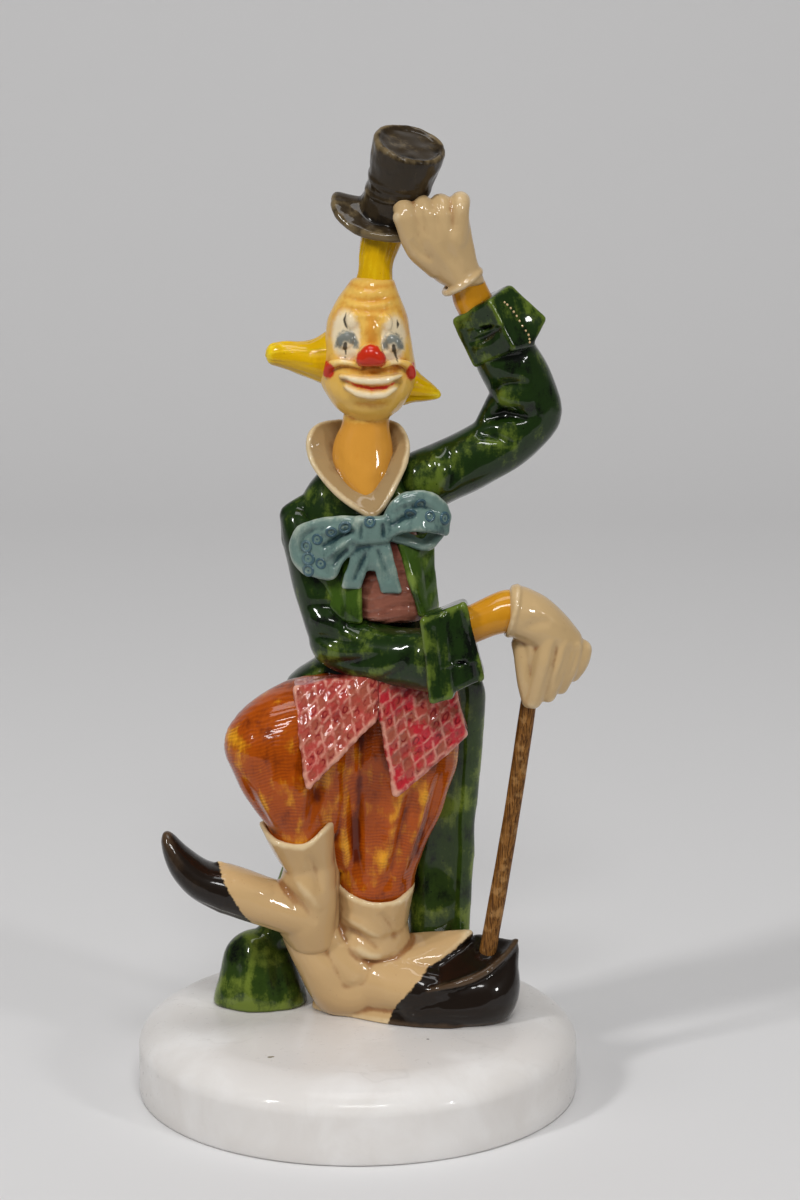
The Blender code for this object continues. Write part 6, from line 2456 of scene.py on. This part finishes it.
@dataclass
class Clown:
    """The whole figure: every glazed zone of it, and the finishes they share."""

    skin: FaceGlaze = FaceGlaze(
        "ochre skin glaze", (230, 184, 88), (246, 222, 156), (182, 104, 18), patches=1.5, flecks=0.25
    )
    bare: Underglaze = Underglaze(
        "bare wrist glaze", (196, 134, 24), (224, 174, 60), (172, 96, 14), patches=0.9
    )
    golden: Underglaze = Underglaze(
        "golden hair glaze", (214, 168, 3), (242, 210, 30), (156, 92, 2), patches=1.2, streaks=1.0
    )
    felt: Underglaze = Underglaze(
        "grey-brown hat glaze", (50, 40, 26), (110, 94, 66), (18, 13, 8), patches=2.6, streaks=1.4, gloss=0.7
    )
    kid: Underglaze = Underglaze(
        "beige glove glaze",
        (196, 166, 120), (218, 196, 158), (150, 106, 66), patches=0.6, streaks=0.3, flecks=0.2,
    )
    loden: Underglaze = Underglaze(
        "deep green coat glaze", (24, 44, 9), (90, 108, 36), (3, 9, 2), patches=3.2, streaks=1.4, flecks=0.8
    )
    sap: Underglaze = Underglaze(
        "light green lapel glaze",
        (56, 82, 20), (118, 138, 60), (12, 28, 6), patches=2.4, streaks=1.2, flecks=0.6,
    )
    moss: Underglaze = Underglaze(
        "mottled green tail glaze",
        (42, 62, 14), (104, 120, 42), (6, 16, 3), patches=3.4, streaks=1.4, flecks=0.8,
    )
    ribbon: Underglaze = Underglaze(
        "blue-grey bow glaze",
        (104, 128, 121), (160, 172, 158), (38, 62, 66), patches=1.8, streaks=0.9, flecks=0.6,
    )
    ring: Underglaze = Underglaze("blue ring glaze", (60, 88, 98), (104, 126, 126), (30, 50, 62), patches=1.6)
    rose: Underglaze = Underglaze(
        "dusty pink waistcoat glaze",
        (136, 84, 68), (196, 146, 122), (84, 38, 28), patches=1.4, streak_scale=(0.12, 0.3, 0.7), streaks=0.9,
    )
    check: CheckGlaze = CheckGlaze(
        "red check glaze", (156, 80, 62), (216, 156, 134), (120, 22, 26), patches=1.2, flecks=0.4
    )
    serge: WeaveGlaze = WeaveGlaze(
        "rust orange trouser glaze",
        (168, 74, 2), (232, 160, 26), (96, 30, 2), patches=2.8, streaks=1.2, contrast=0.42,
    )
    linen: Underglaze = Underglaze(
        "beige collar glaze", (160, 133, 93), (212, 190, 150), (126, 92, 54), patches=0.8
    )
    spat: BootGlaze = BootGlaze(
        "spat and toe glaze",
        (198, 164, 116), (220, 196, 154), (152, 106, 64), patches=0.6, streaks=0.3, flecks=0.2,
    )

    def zones(self) -> list[GlazedPiece]:
        """Every zone, from the hat down.

        Returns:
            The zones.
        """
        return [
            TopHat("top_hat", self.felt, voxel=0.38, softening=4, dents=0.16, dent_size=3.5),
            Hair("hair", self.golden, voxel=0.37, softening=3, dents=0.2, dent_size=5.0),
            Head("head", self.skin, voxel=0.28, softening=7, dents=0.1, dent_size=4.0, fine_thin=0.25),
            Collar("collar", self.linen, voxel=0.4, softening=3, dents=0.12, dent_size=6.0),
            HatGlove("hat_glove", self.kid, voxel=0.34, softening=10, dents=0.14, dent_size=5.0),
            Wrists("wrists", self.bare, voxel=0.6, dents=0.15, dent_size=5.0, casting_share=0.3),
            CaneGlove("cane_glove", self.kid, voxel=0.34, softening=11, dents=0.12, dent_size=5.0),
            CoatBody("coat_body", self.loden, voxel=0.65, softening=5, dents=0.25, dent_size=9.0),
            CoatFronts("coat_fronts", self.sap, voxel=0.42, softening=5, dents=0.2, dent_size=6.0),
            BentSleeve("bent_sleeve", self.loden, voxel=0.5, softening=7, dents=0.22, dent_size=9.0),
            BentCuff("bent_cuff", self.loden, voxel=0.42, softening=5, dents=0.16, dent_size=5.0),
            RaisedSleeve("raised_sleeve", self.loden, voxel=0.5, softening=7, dents=0.22, dent_size=9.0),
            RaisedCuff("raised_cuff", self.loden, voxel=0.42, softening=5, dents=0.16, dent_size=5.0),
            CoatTails(
                "coat_tails", self.moss, voxel=0.8, softening=10, dents=0.3, dent_size=11.0, stands=True
            ),
            Bow("bow", self.ribbon, voxel=0.32, softening=4, dents=0.15, dent_size=3.0, fine_pool_and_shade=0.115),
            WaistcoatFront("waistcoat_front", self.rose, voxel=0.42, softening=4),
            WaistcoatFlaps("waistcoat_flaps", self.check, voxel=0.39, softening=5, dents=0.3, dent_size=5.0),
            Trousers("trousers", self.serge, voxel=0.49, softening=7, dents=0.3, dent_size=9.0),
            RaisedBoot("raised_boot", self.spat, voxel=0.5, softening=7, dents=0.14, dent_size=8.0),
            StandingBoot(
                "standing_boot", self.spat, voxel=0.54, softening=6, dents=0.12, dent_size=8.0, stands=True
            ),
        ]

    def trims(self) -> list[tuple[str, Applique]]:
        """The marks pressed onto finished zones, each with the name of its zone.

        Returns:
            The name of a zone and the marks on it.
        """
        rings = (
            (14.2, 140.5), (19.4, 139.9), (23.3, 138.9), (3.7, 138.6), (-2.8, 137.0), (-6.4, 135.7),
            (-10.1, 133.6), (-13.0, 131.5), (-12.5, 128.3), (-12.5, 125.1), (16.8, 143.0), (-9.2, 127.2),
        )
        cuff = ((38.7, 194.8), (40.3, 193.3), (41.9, 191.2), (43.4, 188.6), (45.0, 186.3), (45.3, 184.4))
        line = smooth_string(list(cuff), 2)
        return [
            ("bow", Applique("bow_rings", self.ring, rings, 1.3, 0.42, 0.12, 4)),
            ("bow", Applique("bow_dots", self.ring, rings, 0.0, 0.45, 0.3, 9)),
            ("raised_cuff", Applique("cuff_stitches", self.kid, tuple(line), 0.0, 0.34, 0.12, 5)),
        ]

    def build(self) -> None:
        """Fires the whole casting, works each zone, then presses on the trims."""
        zones = self.zones()
        casting = Casting(hulls=[hull for zone in zones for hull in zone.clay()])
        casting.fire()
        made = {zone.name: zone.build(casting) for zone in zones}
        for zone_name, trim in self.trims():
            trim.build(made[zone_name])


@dataclass(frozen=True)
class Studio:
    """The pale sweep behind the figurine, soft lamps and the photographer's view."""

    eye: Point = (0.01155, -0.7738, 0.2935)
    pitch: float = 11.5
    lens: float = 88.8
    near_edge: float = -0.34
    bend_start: float = 0.9
    bend_radius: float = 0.6
    top_edge: float = 3.0
    half_width: float = 4.0

    def sweep(self) -> None:
        """A floor that curves up into a backdrop."""
        start, radius = self.bend_start, self.bend_radius
        angles = [math.pi / 2 * i / 12 for i in range(1, 13)]
        bend = [(start + radius * math.sin(a), radius - radius * math.cos(a)) for a in angles]
        rows = [(self.near_edge, 0.0), (start, 0.0), *bend, (start + radius, self.top_edge)]
        points = [(x, y, z) for y, z in rows for x in (-self.half_width, self.half_width)]
        faces = [(2 * i, 2 * i + 1, 2 * i + 3, 2 * i + 2) for i in range(len(rows) - 1)]
        mesh = bpy.data.meshes.new("paper_sweep")
        mesh.from_pydata(points, [], faces)
        mesh.shade_smooth()
        paper = bpy.data.materials.new("pale paper")
        paper.use_nodes = True
        shader = paper.node_tree.nodes["Principled BSDF"]
        shader.inputs["Base Color"].default_value = linear((217, 216, 216))
        shader.inputs["Roughness"].default_value = 0.8
        mesh.materials.append(paper)
        new_object("paper_sweep", mesh)

    def lamp(self, name: str, at: Point, aim: Point, size: Point, watts: float) -> None:
        """A soft rectangular lamp at one point, turned to another.

        Args:
            name: The name.
            at: Where it hangs.
            aim: The point it is turned to.
            size: Its width and height, in metres.
            watts: Its power.
        """
        light = bpy.data.lights.new(name, "AREA")
        light.shape = "RECTANGLE"
        light.size, light.size_y = size
        light.energy = watts
        lamp = bpy.data.objects.new(name, light)
        lamp.location = at
        lamp.rotation_euler = (Vector(aim) - Vector(at)).to_track_quat("-Z", "Y").to_euler()
        bpy.context.scene.collection.objects.link(lamp)

    def camera(self) -> None:
        """The view of the photograph."""
        camera = bpy.data.cameras.new("camera")
        camera.sensor_fit = "VERTICAL"
        camera.sensor_height = 36.0
        camera.sensor_width = 36.0
        camera.lens = self.lens
        seen = bpy.data.objects.new("camera", camera)
        seen.location = self.eye
        seen.rotation_euler = (math.radians(90 - self.pitch), 0, 0)
        bpy.context.scene.collection.objects.link(seen)
        bpy.context.scene.camera = seen

    def build(self) -> None:
        """Sweep, lamps, the room's own light and the camera."""
        self.sweep()
        middle = (0.0, 0.1, 0.12)
        self.lamp("left window", (-1.3, -1.1, 1.35), middle, (0.2, 0.36), 15.5)
        self.lamp("right window", (1.4, -1.2, 0.8), middle, (0.16, 0.3), 7.5)
        self.lamp("ceiling lamp", (0.1, -1.4, 1.5), middle, (0.7, 0.3), 14.5)
        self.lamp("backdrop lamp", (0.0, -0.2, 2.3), (0.0, 1.0, 0.3), (1.2, 0.8), 13.0)
        world = bpy.data.worlds.new("pale room")
        world.use_nodes = True
        sky = world.node_tree.nodes["Background"]
        sky.inputs["Color"].default_value = linear((240, 240, 240))
        sky.inputs["Strength"].default_value = 0.12
        bpy.context.scene.world = world
        bpy.context.scene.view_settings.view_transform = "Standard"
        self.camera()


def main() -> None:
    """Builds the clown, its cane and plinth, and the studio."""
    logging.basicConfig(level=logging.INFO, format="%(message)s")
    Clown().build()
    wood = CaneWood("waxed brown wood", (142, 96, 44), (176, 134, 82), (76, 46, 18), gloss=0.25, relief=0.08)
    Cane(wood).build()
    stone = Alabaster(
        "white alabaster", (216, 212, 208), (230, 228, 226), (192, 188, 183), gloss=0.25, relief=0.01
    )
    Plinth(stone).build()
    Studio().build()


if __name__ == "__main__":
    main()
